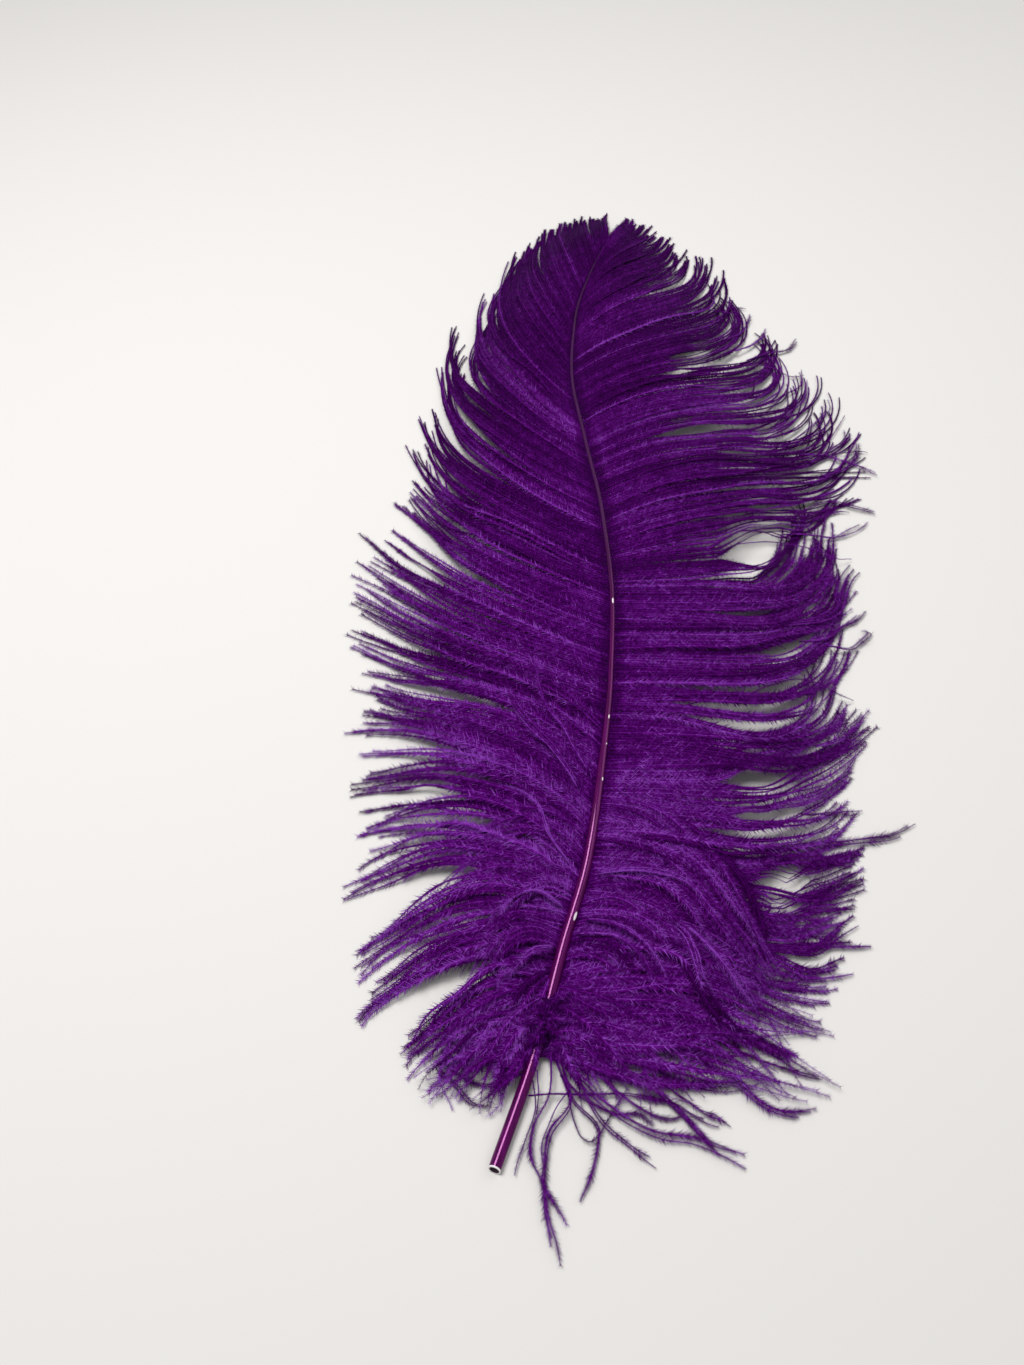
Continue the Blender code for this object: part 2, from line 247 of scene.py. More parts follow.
# Single strands that stand out, each a kind and a route in millimetres from the quill's cut end.
STRANDS = (
    (Kind.FORK, ((24, 46), (23, 28), (16, 15), (15, 6), (20, -4), (29, -20))),
    (Kind.BRUSH, ((28, 42), (31, 25), (22, 14), (20, 3), (20, -14), (24, -32))),
    (Kind.FORK, ((26, 42), (33, 26), (43, 15), (42, 6), (39, -3), (32, -15))),
    (Kind.HAIR, ((28, 42), (31, 28), (33.5, 17), (36, 12), (39.5, 10.5), (43, 13), (46, 18),
                 (50, 24), (57, 33))),
    (Kind.FORK, ((34, 38), (46, 17), (57, 9), (68, 2))),
    (Kind.BRUSH, ((30, 40), (49, 23), (71, 13), (82, 12), (94, 8), (108, 1))),
    (Kind.FORK, ((62, 36), (76, 24), (84, 16), (92, 6))),
    (Kind.FORK, ((66, 36), (83, 23), (98, 15))),
    (Kind.FORK, ((44, 36), (60, 24), (74, 19), (80, 21))),
    (Kind.BRUSH, ((83, 42), (102, 35), (108, 28), (119, 22), (135, 21))),
    (Kind.FORK, ((97, 49), (118, 41), (142, 35))),
    (Kind.FORK, ((19, 51), (-2, 51), (-17, 51), (-22, 43), (-14, 36), (-10, 34), (4, 33))),
    (Kind.FORK, ((17, 49), (-6, 46), (-24, 40), (-15, 32), (-9, 26), (-4, 25), (4, 27))),
    (Kind.FORK, ((15, 36), (4, 38), (-2, 42), (-7, 50), (-11, 55))),
    (Kind.HAIR, ((16, 34), (17, 24), (13, 12), (9, 2), (7, -6))),
    (Kind.FORK, ((14, 28), (24, 29), (40, 29), (60, 29), (74, 26), (84, 21), (98, 16))),
    (Kind.FORK, ((28, 36), (40, 26), (51, 22), (62, 21), (71, 14))),
    (Kind.FORK, ((56, 36), (65, 32), (76, 23), (84, 15), (92, 5))),
    (Kind.BRUSH, ((40, 39), (56, 34), (79, 33), (99, 34))),
    (Kind.BRUSH, ((47, 42), (66, 39), (79, 32), (95, 30))),
    (Kind.HAIR, ((18, 38), (18, 24), (16, 17), (16, 11))),
    (Kind.HAIR, ((31, 30), (24, 21), (20, 11), (19, 2))),
    (Kind.FORK, ((80, 56), (92, 54), (110, 49), (120, 44), (130, 38))),
    (Kind.RIDGE, ((37, 95), (56, 91), (64, 84), (68, 77), (69, 71), (68, 65), (64, 58))),
    (Kind.RIDGE, ((41, 102), (53, 99), (64, 92), (70, 84), (74, 77), (78, 69), (80, 60))),
    (Kind.RIDGE, ((47, 124), (59, 124), (73, 123), (84, 120), (93, 114), (98, 107), (104, 100),
                  (109, 93))),
    (Kind.RIDGE, ((80, 100), (84, 95), (87, 87), (89, 78), (93, 69), (99, 58))),
    # A nearly black strand: painted shadow in a fold between arches.
    (Kind.SHADE, ((70, 97), (79, 87), (85, 77), (90, 68), (97, 58), (104, 49), (110, 42))),
    (Kind.RIDGE, ((84, 100), (92, 91), (100, 81), (106, 74), (112, 66), (118, 58))),
    # Another nearly black strand of painted shadow in a fold.
    (Kind.SHADE, ((76, 154), (88, 148), (97, 140), (106, 130), (114, 119), (118, 107), (120, 94),
                  (121, 80))),
    (Kind.RIDGE, ((30, 108), (18, 114), (7, 111), (0, 101), (-6, 89))),
    (Kind.RIDGE, ((26, 88), (18, 86), (10, 80), (3, 73))),
    (Kind.RIDGE, ((34, 128), (24, 142), (19, 157), (11, 165), (-2, 170), (-17, 176))),
    (Kind.BAND, ((84, 90), (112, 90), (125, 92), (143, 93), (158, 94), (172, 95))),
    (Kind.BAND, ((90, 86), (117, 89), (127, 89), (145, 89), (155, 96), (166, 103))),
    (Kind.BAND, ((88, 92), (115, 90), (127, 84), (141, 79), (148, 80), (160, 83))),
    (Kind.BAND, ((90, 98), (118, 96), (133, 96), (149, 103), (159, 106))),
    (Kind.BAND, ((90, 106), (120, 103), (137, 106), (153, 110), (165, 111))),
    (Kind.BAND, ((98, 122), (127, 118), (145, 115), (163, 122), (180, 131))),
    (Kind.FORK, ((104, 138), (132, 133), (150, 138), (162, 132), (170, 132))),
    (Kind.BRUSH, ((120, 138), (145, 141), (175, 144), (189, 146), (205, 154))),
    (Kind.OVER, ((57, 374), (79, 397), (94, 419), (109, 437), (127, 441))),
    (Kind.OVER, ((57, 446), (79, 488), (101, 513), (122, 529), (164, 532))),
    (Kind.FORK, ((172, 397), (203, 397), (220, 390), (236, 380))),
    (Kind.FORK, ((171, 345), (197, 360), (214, 356), (230, 349))),
    (Kind.BAND, ((101, 291), (114, 295), (130, 298), (143, 299), (151, 306), (158, 315), (162, 325),
                 (166, 340))),
    (Kind.BAND, ((100, 286), (116, 286), (133, 290), (146, 295), (157, 304), (164, 313), (168, 324),
                 (171, 345))),
    (Kind.BAND, ((102, 285), (118, 284), (135, 287), (149, 293), (159, 301), (168, 312), (173, 324),
                 (176, 338))),
    (Kind.BAND, ((104, 283), (119, 283), (136, 285), (149, 291), (161, 299), (170, 308), (176, 318),
                 (179, 326))),
    (Kind.BAND, ((109, 278), (125, 276), (139, 278), (152, 284), (164, 292), (172, 302), (180, 314),
                 (190, 344))),
    (Kind.BAND, ((115, 273), (129, 269), (143, 272), (155, 278), (166, 286), (177, 297), (186, 310),
                 (194, 345))),
    (Kind.BAND, ((120, 266), (136, 266), (152, 273), (166, 281), (179, 291), (188, 303), (191, 316),
                 (193, 328))),
    (Kind.BAND, ((150, 266), (161, 269), (178, 274), (186, 280), (192, 294), (198, 306), (205, 314))),
    (Kind.OVER, ((124, 314), (134, 319), (142, 320), (156, 321), (169, 320), (182, 317), (190, 313),
                 (206, 318))),
    (Kind.HAIR, ((168, 356), (173, 353), (178, 345), (183, 333), (187, 325), (189, 317))),
    (Kind.FORK, ((164, 332), (171, 333), (184, 333), (194, 332), (201, 335), (210, 341), (218, 347))),
    (Kind.FORK, ((145, 341), (152, 343), (165, 345), (179, 343), (190, 349), (201, 353), (212, 351))),
    (Kind.FORK, ((182, 319), (186, 330), (190, 341), (194, 353), (195, 362))),
    (Kind.HAIR, ((191, 303), (192, 315), (193, 330))),
    (Kind.BRUSH, ((157, 260), (173, 269), (186, 276), (195, 283))),
    (Kind.BRUSH, ((162, 257), (177, 260), (188, 269), (197, 274), (202, 280))),
    (Kind.FORK, ((176, 255), (191, 255), (197, 260), (202, 266), (198, 267))),
    (Kind.OVER, ((128, 220), (142, 226), (157, 230), (167, 229), (177, 224), (186, 223), (195, 224))),
    (Kind.OVER, ((94, 213), (105, 216), (114, 218), (124, 220), (134, 222), (148, 228))),
    (Kind.OVER, ((117, 243), (131, 249), (146, 254), (156, 255))),
    (Kind.BRUSH, ((160, 193), (166, 195), (174, 198), (183, 206), (193, 216))),
    (Kind.FORK, ((158, 167), (167, 174), (175, 181), (183, 192))),
    (Kind.FORK, ((148, 156), (155, 157), (167, 159), (180, 160))),
    (Kind.FORK, ((161, 481), (174, 490), (184, 494), (194, 499), (201, 510))),
    (Kind.HAIR, ((160, 475), (170, 479), (178, 477), (187, 472), (200, 471))),
    (Kind.FORK, ((170, 435), (183, 451), (195, 462), (197, 481))),
    (Kind.FORK, ((172, 421), (185, 435), (196, 448), (200, 466))),
    (Kind.FORK, ((167, 399), (181, 409), (201, 429), (209, 440), (209, 448))),
    (Kind.HAIR, ((177, 384), (196, 399), (208, 416), (220, 436))),
    (Kind.FORK, ((189, 389), (206, 404), (217, 414), (217, 425))),
    (Kind.HAIR, ((193, 395), (207, 399), (216, 402), (229, 402))),
    (Kind.BRUSH, ((194, 378), (210, 386), (219, 396), (223, 409))),
    (Kind.FORK, ((137, 516), (151, 529), (160, 538), (171, 537))),
    (Kind.FORK, ((148, 501), (163, 513), (169, 525), (172, 536))),
    (Kind.BRUSH, ((154, 490), (167, 499), (176, 510), (179, 518))),
    (Kind.CREST, ((45, 173), (39, 183), (33, 196), (26, 206), (22, 220), (20, 233), (14, 250),
                  (5, 259), (-4, 266))),
    (Kind.CREST, ((39, 166), (32, 177), (25, 187), (18, 195), (11, 206), (5, 218), (-4, 228),
                  (-14, 238))),
)


class Side(Enum):
    """The side of the shaft on which a barb grows, seen from above with the tip away."""

    LEFT = -1
    RIGHT = 1


# What grows on each side: the fullness of its locks, the loose barbs at its foot and the arching bundles.
GROWTH = {Side.LEFT: (0.11, 60, 22), Side.RIGHT: (0.03, 90, 36)}
BARBS_OVER_QUILL = 26
LYING_KINDS = (Kind.BAND, Kind.RIDGE, Kind.SHADE, Kind.CREST)
FREE_KINDS = (Kind.HAIR, Kind.FORK, Kind.BRUSH, Kind.OVER)


class Track:
    """A smooth curve through the rows of a table, which can be read at many places at once."""

    def __init__(self, rows: Rows) -> None:
        """Works out the slopes of a curve that passes through every row and doesn't overshoot.

        Args:
            rows: the table, each row a place and the values there.
        """
        table = np.array(rows, float)
        self.places = table[:, 0]
        self.values = table[:, 1:]
        rises = np.diff(self.values, axis=0) / np.diff(self.places)[:, None]
        before, after = rises[:-1], rises[1:]
        total = before + after
        same_way = before * after > 0
        inner = np.where(same_way, 2 * before * after / np.where(same_way, total, 1.0), 0.0)
        self.slopes = np.vstack([rises[:1], inner, rises[-1:]])

    def at(self, places: np.ndarray) -> np.ndarray:
        """Reads the curve.

        Args:
            places: the places, in an array of any shape.

        Returns:
            The values, with one more axis than the places, the table's columns.
        """
        places = np.asarray(places, float)
        index = np.clip(np.searchsorted(self.places, places, side="right") - 1, 0, len(self.places) - 2)
        step = (self.places[index + 1] - self.places[index])[..., None]
        part = np.clip((places - self.places[index])[..., None] / step, 0.0, 1.0)
        rise = self.values[index + 1] - self.values[index]
        start = self.slopes[index] * step - rise
        end = self.slopes[index + 1] * step - rise
        return self.values[index] + rise * part + part * (1 - part) * (start * (1 - part) - end * part)


def eased(value: np.ndarray) -> np.ndarray:
    """Goes from 0 to 1 with a soft start and a soft end."""
    value = np.clip(value, 0.0, 1.0)
    return value * value * (3 - 2 * value)


def unit(vectors: np.ndarray) -> np.ndarray:
    """Scales each vector to length 1."""
    return vectors / np.maximum(np.linalg.norm(vectors, axis=-1, keepdims=True), 1e-12)


def bezier(start: np.ndarray, first: np.ndarray, last: np.ndarray, tip: np.ndarray,
           parts: np.ndarray) -> np.ndarray:
    """Gives points on cubic curves, at the parts of them that are asked for."""
    part = parts[..., None]
    rest = 1 - part
    return start * rest ** 3 + first * 3 * rest ** 2 * part + last * 3 * rest * part ** 2 + tip * part ** 3


def swept(start: np.ndarray, first: np.ndarray, last: np.ndarray, tip: np.ndarray) -> np.ndarray:
    """Draws a barb for each row of end points and handles."""
    parts = PARTS[None, :] * np.ones((len(start), 1))
    return bezier(start[:, None], first[:, None], last[:, None], tip[:, None], parts)


def level(across: np.ndarray, along: np.ndarray) -> np.ndarray:
    """Gives level vectors from their parts across and along the frame."""
    return np.stack([across, along, np.zeros_like(across)], axis=-1)


def leftward(lines: np.ndarray) -> np.ndarray:
    """Gives the level direction to the left of each line, at each of its points."""
    along = np.gradient(lines, axis=1)
    return unit(level(-along[..., 1], along[..., 0]))


def swayed(lines: np.ndarray, sway: np.ndarray) -> np.ndarray:
    """Moves each point of some lines to the left by its own distance."""
    return lines + leftward(lines) * sway[..., None]


def turned(vectors: np.ndarray, degrees: np.ndarray) -> np.ndarray:
    """Turns vectors about the upright, and levels them."""
    angle = np.radians(degrees)
    cosine, sine = np.cos(angle), np.sin(angle)
    return level(vectors[..., 0] * cosine - vectors[..., 1] * sine,
                 vectors[..., 0] * sine + vectors[..., 1] * cosine)


def tapered(root: float, loss: float, count: int, parts: np.ndarray) -> np.ndarray:
    """Gives the radii of some stems, which lose a part of the root's radius toward the tip."""
    return root - loss * parts * np.ones((count, 1))


def fringed(parts: np.ndarray, root: float, grown: float, tip: np.ndarray, fading: float) -> np.ndarray:
    """Gives how long the barbules are along a barb, over their greatest length.

    Args:
        parts: the parts of the barb's length.
        root: their length at its root.
        grown: the part by which they have grown.
        tip: their length at its tip.
        fading: the part over which they shorten toward the tip.

    Returns:
        Their lengths.
    """
    past_tip = 1.02
    return (root + (1 - root) * eased(parts / grown)) * (tip + (1 - tip) * eased((past_tip - parts) / fading))


def curled(lines: np.ndarray, turns: np.ndarray) -> np.ndarray:
    """Bends lines to the left without stretching them.

    Args:
        lines: the lines, each a row of points.
        turns: how far each line is turned at each point, in radians.

    Returns:
        The bent lines.
    """
    steps = np.diff(lines, axis=1)
    turn = (turns[:, 1:] + turns[:, :-1]) / 2
    bent = steps.copy()
    bent[..., 0] = steps[..., 0] * np.cos(turn) - steps[..., 1] * np.sin(turn)
    bent[..., 1] = steps[..., 0] * np.sin(turn) + steps[..., 1] * np.cos(turn)
    return np.concatenate([lines[:, :1], lines[:, :1] + np.cumsum(bent, axis=1)], axis=1)


def dealt(dice: np.random.Generator, count: int, least: int, under: int) -> np.ndarray:
    """Deals neighbours into groups of uneven size and gives the number of each one's group."""
    sizes = dice.integers(least, under, size=count)
    return np.repeat(np.arange(count), sizes)[:count]


def middle_of(values: np.ndarray, groups: np.ndarray) -> np.ndarray:
    """Gives each one the mean value of its group."""
    return (np.bincount(groups, values) / np.bincount(groups))[groups]


def waves(dice: np.random.Generator, count: int, part: np.ndarray, slow: float, fast: float) -> np.ndarray:
    """Gives each of some lines a wave of its own that starts from nothing.

    Args:
        dice: the source of what varies.
        count: how many lines.
        part: the parts of a line at which the wave is read, in one row.
        slow: the fewest swings.
        fast: the most.

    Returns:
        The waves, a row for each line.
    """
    swings = dice.uniform(slow, fast, count)[:, None]
    phase = dice.uniform(0, 2, count)[:, None]
    wave = np.sin(math.pi * (part * 2 * swings + phase)) - np.sin(math.pi * phase)
    return wave * dice.normal(0, 1, count)[:, None]


def smooth_route(route: np.ndarray, parts: np.ndarray) -> np.ndarray:
    """Draws a smooth line through the points of a route.

    Args:
        route: the points.
        parts: the parts of its length at which the line is wanted.

    Returns:
        The points of the line there.
    """
    gaps = np.linalg.norm(np.diff(route, axis=0), axis=1)
    place = np.concatenate([[0.0], np.cumsum(gaps)])
    slope = np.gradient(route, place, axis=0)
    want = place[-1] * parts
    index = np.clip(np.searchsorted(place, want, side="right") - 1, 0, len(gaps) - 1)
    step = gaps[index][:, None]
    part = ((want - place[index]) / gaps[index])[:, None]
    start, end = route[index], route[index + 1]
    leave, arrive = slope[index] * step, slope[index + 1] * step
    return (start * (1 + 2 * part) * (1 - part) ** 2 + leave * part * (1 - part) ** 2
            + end * part ** 2 * (3 - 2 * part) + arrive * part ** 2 * (part - 1))


def linked(name: str, data: bpy.types.ID) -> bpy.types.Object:
    """Makes an object of some data and puts it in the scene."""
    made = bpy.data.objects.new(name, data)
    bpy.context.scene.collection.objects.link(made)
    return made


def carry(mesh: bpy.types.Mesh, values: dict[str, object]) -> None:
    """Stores numbers on the vertices of a mesh, each row under its name."""
    for name, numbers in values.items():
        flat = np.asarray(numbers, np.float32).ravel()
        mesh.attributes.new(name, "FLOAT", "POINT").data.foreach_set("value", flat)


@dataclass
class Shaft:
    """The quill and rachis: one grown piece, hollow at the cut end.

    Attributes:
        sides: faces around.
        stations: rings along.
        flatness: height over width.
        bore_depth: how far the hollow goes in.
        bore_rings: rings along the hollow.
        wall: thickness of the quill's wall at the cut.
        rim: how far the bared rim reaches along the skin.
        slant: how far back the cut's top leans, over its height.
        matte: where the glossy quill begins to give way to the matte rachis and where it has.
        track: the curve of the axis with its height and radius.
        foot: where the cut end lies in the frame.
    """

    sides: int = 40
    stations: int = 260
    flatness: float = 0.90
    bore_depth: float = 0.050
    bore_rings: int = 11
    wall: float = 0.00055
    rim: float = 0.0005
    slant: float = 0.38
    matte: tuple[float, float] = (0.262, 0.330)
    track: Track = field(default_factory=lambda: Track(SHAFT))
    foot: np.ndarray = field(default_factory=lambda: np.zeros(3))

    @property
    def length(self) -> float:
        """The distance from the cut end to the tip."""
        return float(self.track.places[-1])

    def settle(self) -> None:
        """Finds where the cut end lies in the frame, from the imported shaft's box."""
        low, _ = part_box("shaft")
        ring = self.ring_points(np.array([0.0]), np.array([0.0]))[0]
        self.foot = np.array([low.x - ring[:, 0].min(), low.y - ring[:, 1].min(), 0.0])

    def axis(self, along: np.ndarray) -> tuple[np.ndarray, np.ndarray, np.ndarray]:
        """Gives points of the axis, the direction there and the radius.

        Args:
            along: distances from the cut end.

        Returns:
            The points, the unit directions and the radii.
        """
        reading_step = 0.002
        across, height, radius = np.moveaxis(self.track.at(along), -1, 0)
        points = np.stack([across, along, height], axis=-1) + self.foot
        start = np.maximum(along - reading_step, 0.0)
        end = np.minimum(along + reading_step, self.length)
        before, after = self.track.at(start), self.track.at(end)
        run = np.stack([after[..., 0] - before[..., 0], end - start, after[..., 1] - before[..., 1]], axis=-1)
        return points, unit(run), radius

    def outward(self, direction: np.ndarray, side: Side) -> np.ndarray:
        """Gives the level direction away from the shaft on one side."""
        return unit(level(direction[..., 1], -direction[..., 0])) * side.value

    def origins(self, roots: np.ndarray, side: Side) -> tuple[np.ndarray, np.ndarray, np.ndarray]:
        """Gives where barbs grow.

        Args:
            roots: how far along the shaft they grow.
            side: the side.

        Returns:
            The points of the axis, the barbs' first points just inside the surface, and the radii.
        """
        axis, direction, radius = self.axis(roots)
        return axis, axis + self.outward(direction, side) * radius[..., None] * START_DEPTH, radius

    def ring_points(self, along: np.ndarray, inset: np.ndarray) -> np.ndarray:
        """Places the vertices of rings around the shaft.

        Args:
            along: where the rings are.
            inset: how far each lies inside the outer surface.

        Returns:
            An array of rings by sides by 3.
        """
        points, direction, radius = self.axis(along)
        aside = self.outward(direction, Side.RIGHT)
        upward = np.cross(aside, direction) * self.flatness
        turn = np.linspace(0, 2 * math.pi, self.sides, endpoint=False)
        around = np.cos(turn)[None, :, None] * aside[:, None] + np.sin(turn)[None, :, None] * upward[:, None]
        return points[:, None] + around * (radius - inset)[:, None, None]

    def build(self) -> bpy.types.Object:
        """Builds the shaft's skin, its snipped rim and the hollow behind it.

        Returns:
            The finished object.
        """
        bore = np.linspace(self.bore_depth, 0.0, self.bore_rings)
        lip = np.zeros(2)
        skin = np.concatenate([[0.0, self.rim], np.linspace(0, self.length, self.stations)[1:]])
        along = np.concatenate([bore, lip, skin])
        inset = np.concatenate([np.full(len(bore), self.wall), self.wall * np.array([0.8, 0.25]),
                                np.zeros(len(skin))])
        vertices = self.ring_points(along, inset)
        center, direction, _ = self.axis(np.array([0.0]))
        cut = along <= self.rim
        vertices[cut] += direction * (vertices[cut][..., 2:] - center[0, 2]) * self.slant
        count = len(vertices)
        faces = []
        for ring in range(count - 1):
            for turn in range(self.sides):
                after = (turn + 1) % self.sides
                one, other = ring * self.sides, (ring + 1) * self.sides
                faces.append((one + turn, one + after, other + after, other + turn))
        last = (count - 1) * self.sides
        faces.append(tuple(range(self.sides))[::-1])
        faces.append(tuple(last + turn for turn in range(self.sides)))
        mesh = bpy.data.meshes.new("quill_and_rachis")
        mesh.from_pydata(vertices.reshape(-1, 3).tolist(), [], faces)
        mesh.shade_smooth()
        for material in (QuillFinish("quill_finish").make(self),
                         CutFinish("pith_finish", (0.86, 0.83, 0.82), 0.45).make(),
                         # The hollow is painted darker than the quill: painted shade inside the bore.
                         CutFinish("bore_finish", (0.030, 0.004, 0.024), 0.60).make()):
            mesh.materials.append(material)
        skin_slot, pith_slot, bore_slot = range(3)
        slots = np.full(count - 1, skin_slot)
        slots[:len(bore) + len(lip) + 1] = pith_slot
        slots[:len(bore) - 1] = bore_slot
        slots = np.concatenate([np.repeat(slots, self.sides), [bore_slot, skin_slot]])
        mesh.polygons.foreach_set("material_index", slots.astype(np.int32))
        return linked("quill_and_rachis", mesh)


STRAND_PARTS = ("points", "stem", "down", "tint", "firm")


@dataclass
class Strands:
    """Bare barb lines and what each carries along its length.

    Attributes:
        points: strands by stations by 3.
        stem: radius of the barb's stem at each station.
        down: length of the barbules at each station.
        tint: one value for each strand, from 0 dark to 1 pale; besides the strand's own tone it holds painted
            light and shade.
        firm: one value for each strand, how much of its close inner part is left at the tip.
    """

    points: np.ndarray
    stem: np.ndarray
    down: np.ndarray
    tint: np.ndarray
    firm: np.ndarray

    def pick(self, chosen: np.ndarray) -> "Strands":
        """Gives some of the strands."""
        return Strands(*(getattr(self, name)[chosen] for name in STRAND_PARTS))

    def lengths(self) -> np.ndarray:
        """Gives the length of each strand."""
        return np.linalg.norm(np.diff(self.points, axis=1), axis=2).sum(axis=1)

    @staticmethod
    def joined(groups: list["Strands"]) -> "Strands":
        """Joins groups of strands that have the same number of stations."""
        return Strands(*(np.concatenate([getattr(group, name) for group in groups]) for name in STRAND_PARTS))


@dataclass
class Vane:
    """One vane's barbs.

    Attributes:
        side: the side of the shaft.
        shaft: the shaft they grow from.
        barbs: how many there are.
        seed: the seed of all that varies among them.
        fullness: how much wider its locks spread, so that fewer gaps open between them.
        foot: where on the shaft its first barb grows.
        head: where its last one grows.
        stray_share: the share of barbs that leave their neighbours.
        stem_root: the radius of a barb's stem where it grows.
        stem_tip: its radius at the tip.
    """

    side: Side
    shaft: Shaft
    barbs: int = 430
    seed: int = 5
    fullness: float = 0.0
    foot: float = 0.058
    head: float = 0.614
    stray_share: float = 0.06
    stem_root: float = 0.00023
    stem_tip: float = 0.00008

    @property
    def rows(self) -> Rows:
        """The rows that say how this side's barbs lie."""
        return RIGHT_BARBS if self.side is Side.RIGHT else LEFT_BARBS

    def lie(self, roots: np.ndarray, parts: np.ndarray) -> np.ndarray:
        """Places points on the vane's sheet.

        Args:
            roots: where on the shaft the barbs grow.
            parts: how far along each barb the point is, 0 to 1.

        Returns:
            The points.
        """
        leaves, out, up, arrives, _ = np.moveaxis(Track(self.rows).at(roots), -1, 0)
        axis, start, radius = self.shaft.origins(roots, self.side)
        tip = start + level(self.side.value * out, up)
        reach = np.hypot(out, up)
        first = start + self.heading(leaves) * (reach * ROOT_HANDLE)[..., None]
        last = tip - self.heading(arrives) * (reach * TIP_HANDLE)[..., None]
        points = bezier(start, first, last, tip, parts)
        drop = np.clip(parts / TOUCHES_TABLE_AT, 0.0, 1.0)
        fall = eased(drop)
        puff = PUFF_HEIGHT * np.sin(math.pi * drop) * np.minimum(reach / PUFFED_REACH, 1.0)
        points[..., 2] = (axis[..., 2] - radius * 0.25) * (1 - fall) + TIP_HEIGHT * fall + puff
        return points

    def heading(self, degrees: np.ndarray) -> np.ndarray:
        """Gives the level direction at an angle from straight out."""
        angle = np.radians(degrees)
        return level(self.side.value * np.cos(angle), np.sin(angle))

    def slits(self, dice: np.random.Generator) -> np.ndarray:
        """Lists the slits between locks: those seen in the right vane and a sprinkling of small ones."""
        count = 26 if self.side is Side.RIGHT else 12
        opens = dice.uniform(0.42, 0.74, count)
        small = np.stack([dice.uniform(0.09, 0.58, count), opens, opens + dice.uniform(0.10, 0.24, count),
                          dice.uniform(0.0005, 0.0013, count)], axis=1)
        return np.vstack([small, RIGHT_SLITS]) if self.side is Side.RIGHT else small

    def grow(self) -> Strands:
        """Draws every barb of the vane.

        Barbs draw together in fingers of a few, and fingers in locks, each with its own sway and height.

        Returns:
            The barbs as strands.
        """
        dice = np.random.default_rng(self.seed)
        count = self.barbs
        order = (np.arange(count) + dice.uniform(-0.3, 0.3, count)) / (count - 1)
        roots = self.foot + (self.head - self.foot) * np.clip(order, 0, 1)
        finger = dealt(dice, count, 2, 7)
        lock = dealt(dice, finger.max() + 1, 3, 6)[finger]
        fingers, locks = finger.max() + 1, lock.max() + 1
        finger_root, lock_root = middle_of(roots, finger), middle_of(roots, lock)
        length, loft, wander, hook, dark = np.moveaxis(Track(FLUFF).at(roots), -1, 0)
        hook = hook * (1.0 if self.side is Side.RIGHT else 0.45)
        joined = Track(self.rows).at(roots)[:, 4][:, None]
        part = PARTS[None, :]
        stray = dice.random(count) < self.stray_share

        # How far each barb closes up with its finger and its lock, and drifts along the shaft.
        gather = eased((part - joined * 0.6) / (0.95 - joined * 0.6))
        near_top = eased((roots - 0.39) / 0.13)
        low_down = 1 - eased((roots - 0.24) / 0.10)
        tight = dice.uniform(0.10, 0.46, fingers)[finger] + 0.14 * low_down
        tight = np.where(stray, 1.4, tight + (0.85 - tight) * near_top)[:, None]
        finger_start = np.minimum(joined * dice.uniform(1.0, 1.5, fingers)[finger][:, None], 0.85)
        closing = 1 - (1 - tight) * eased((part - finger_start) / (0.98 - finger_start))
        drawn = dice.uniform(0.80, 1.05, locks)[lock] + self.fullness
        lock_closing = 1 - (1 - drawn)[:, None] * gather
        drift = dice.normal(0, 0.8, locks)[lock] + dice.normal(0, 0.6, fingers)[finger]
        drift = drift + dice.normal(0, 0.25, count)
        drift = drift * np.where(stray, 2.6, 1.0) * wander * (1 - 3 * self.fullness)
        place = lock_root[:, None] + (finger_root - lock_root)[:, None] * lock_closing
        place = place + (roots - finger_root)[:, None] * closing + drift[:, None] * gather

        # The slits push barbs apart and trim the barbules along them.
        trim = np.ones((count, len(PARTS)))
        for where, opens, closes, width in self.slits(dice):
            hand = np.where(finger_root > where, 1.0, -1.0)[:, None]
            off = np.abs(place - where)
            open_by = np.sin(math.pi * np.clip((part - opens) / (closes - opens), 0, 1)) ** 1.2
            place = place + hand * width * 1.15 * open_by * np.exp(-off / (3.0 * width))
            trim = trim * (1 - 0.55 * open_by ** 0.5 * (off < 2.2 * width))
        place = np.clip(place, self.foot - 0.004, self.head + 0.002)

        # Fingers come to a point, so the outer barbs of one are shorter.
        off_middle = np.abs(roots - finger_root)
        rank = off_middle / np.maximum(middle_of(off_middle, finger) * 2, 1e-6)
        reach = dice.uniform(0.97, 1.03, locks)[lock] * dice.uniform(0.92, 1.04, fingers)[finger]
        reach = reach * (1 - 0.13 * np.clip(rank, 0, 1) * dice.uniform(0.2, 1.0, count))
        reach = np.where(stray, dice.uniform(0.75, 1.05, count), reach) * (1 + 0.0009 * hook)
        points = self.lie(place, part * reach[:, None])

        # Every barb sways, sags with its lock and hooks toward the feather's tip.
        wave = waves(dice, fingers, part, 0.5, 1.3)[finger] * (wander * 0.45)[:, None] * part
        wave = wave + waves(dice, locks, part, 0.5, 1.0)[lock] * (wander * 0.7)[:, None] * part ** 1.5
        own_sway = wander * np.where(stray, 0.8, 0.22)
        wave = wave + waves(dice, count, part, 1.0, 2.4) * own_sway[:, None] * part
        points = swayed(points, wave)
        bend = 1 + dice.normal(0, 0.38, fingers)[finger] + dice.normal(0, 0.12, count)
        bend = np.radians(bend * hook) * self.side.value
        sag = dice.normal(0.22, 0.07, locks)[lock] * (1 - eased((roots - 0.22) / 0.07))
        start = 0.46 + 0.12 * eased((roots - 0.22) / 0.07)[:, None]
        swing = np.clip((part - start) / (1 - start), 0, 1) ** 1.5
        swing = swing - sag[:, None] * np.sin(math.pi * np.clip(part / 0.60, 0, 1))
        points = curled(points, bend[:, None] * swing)
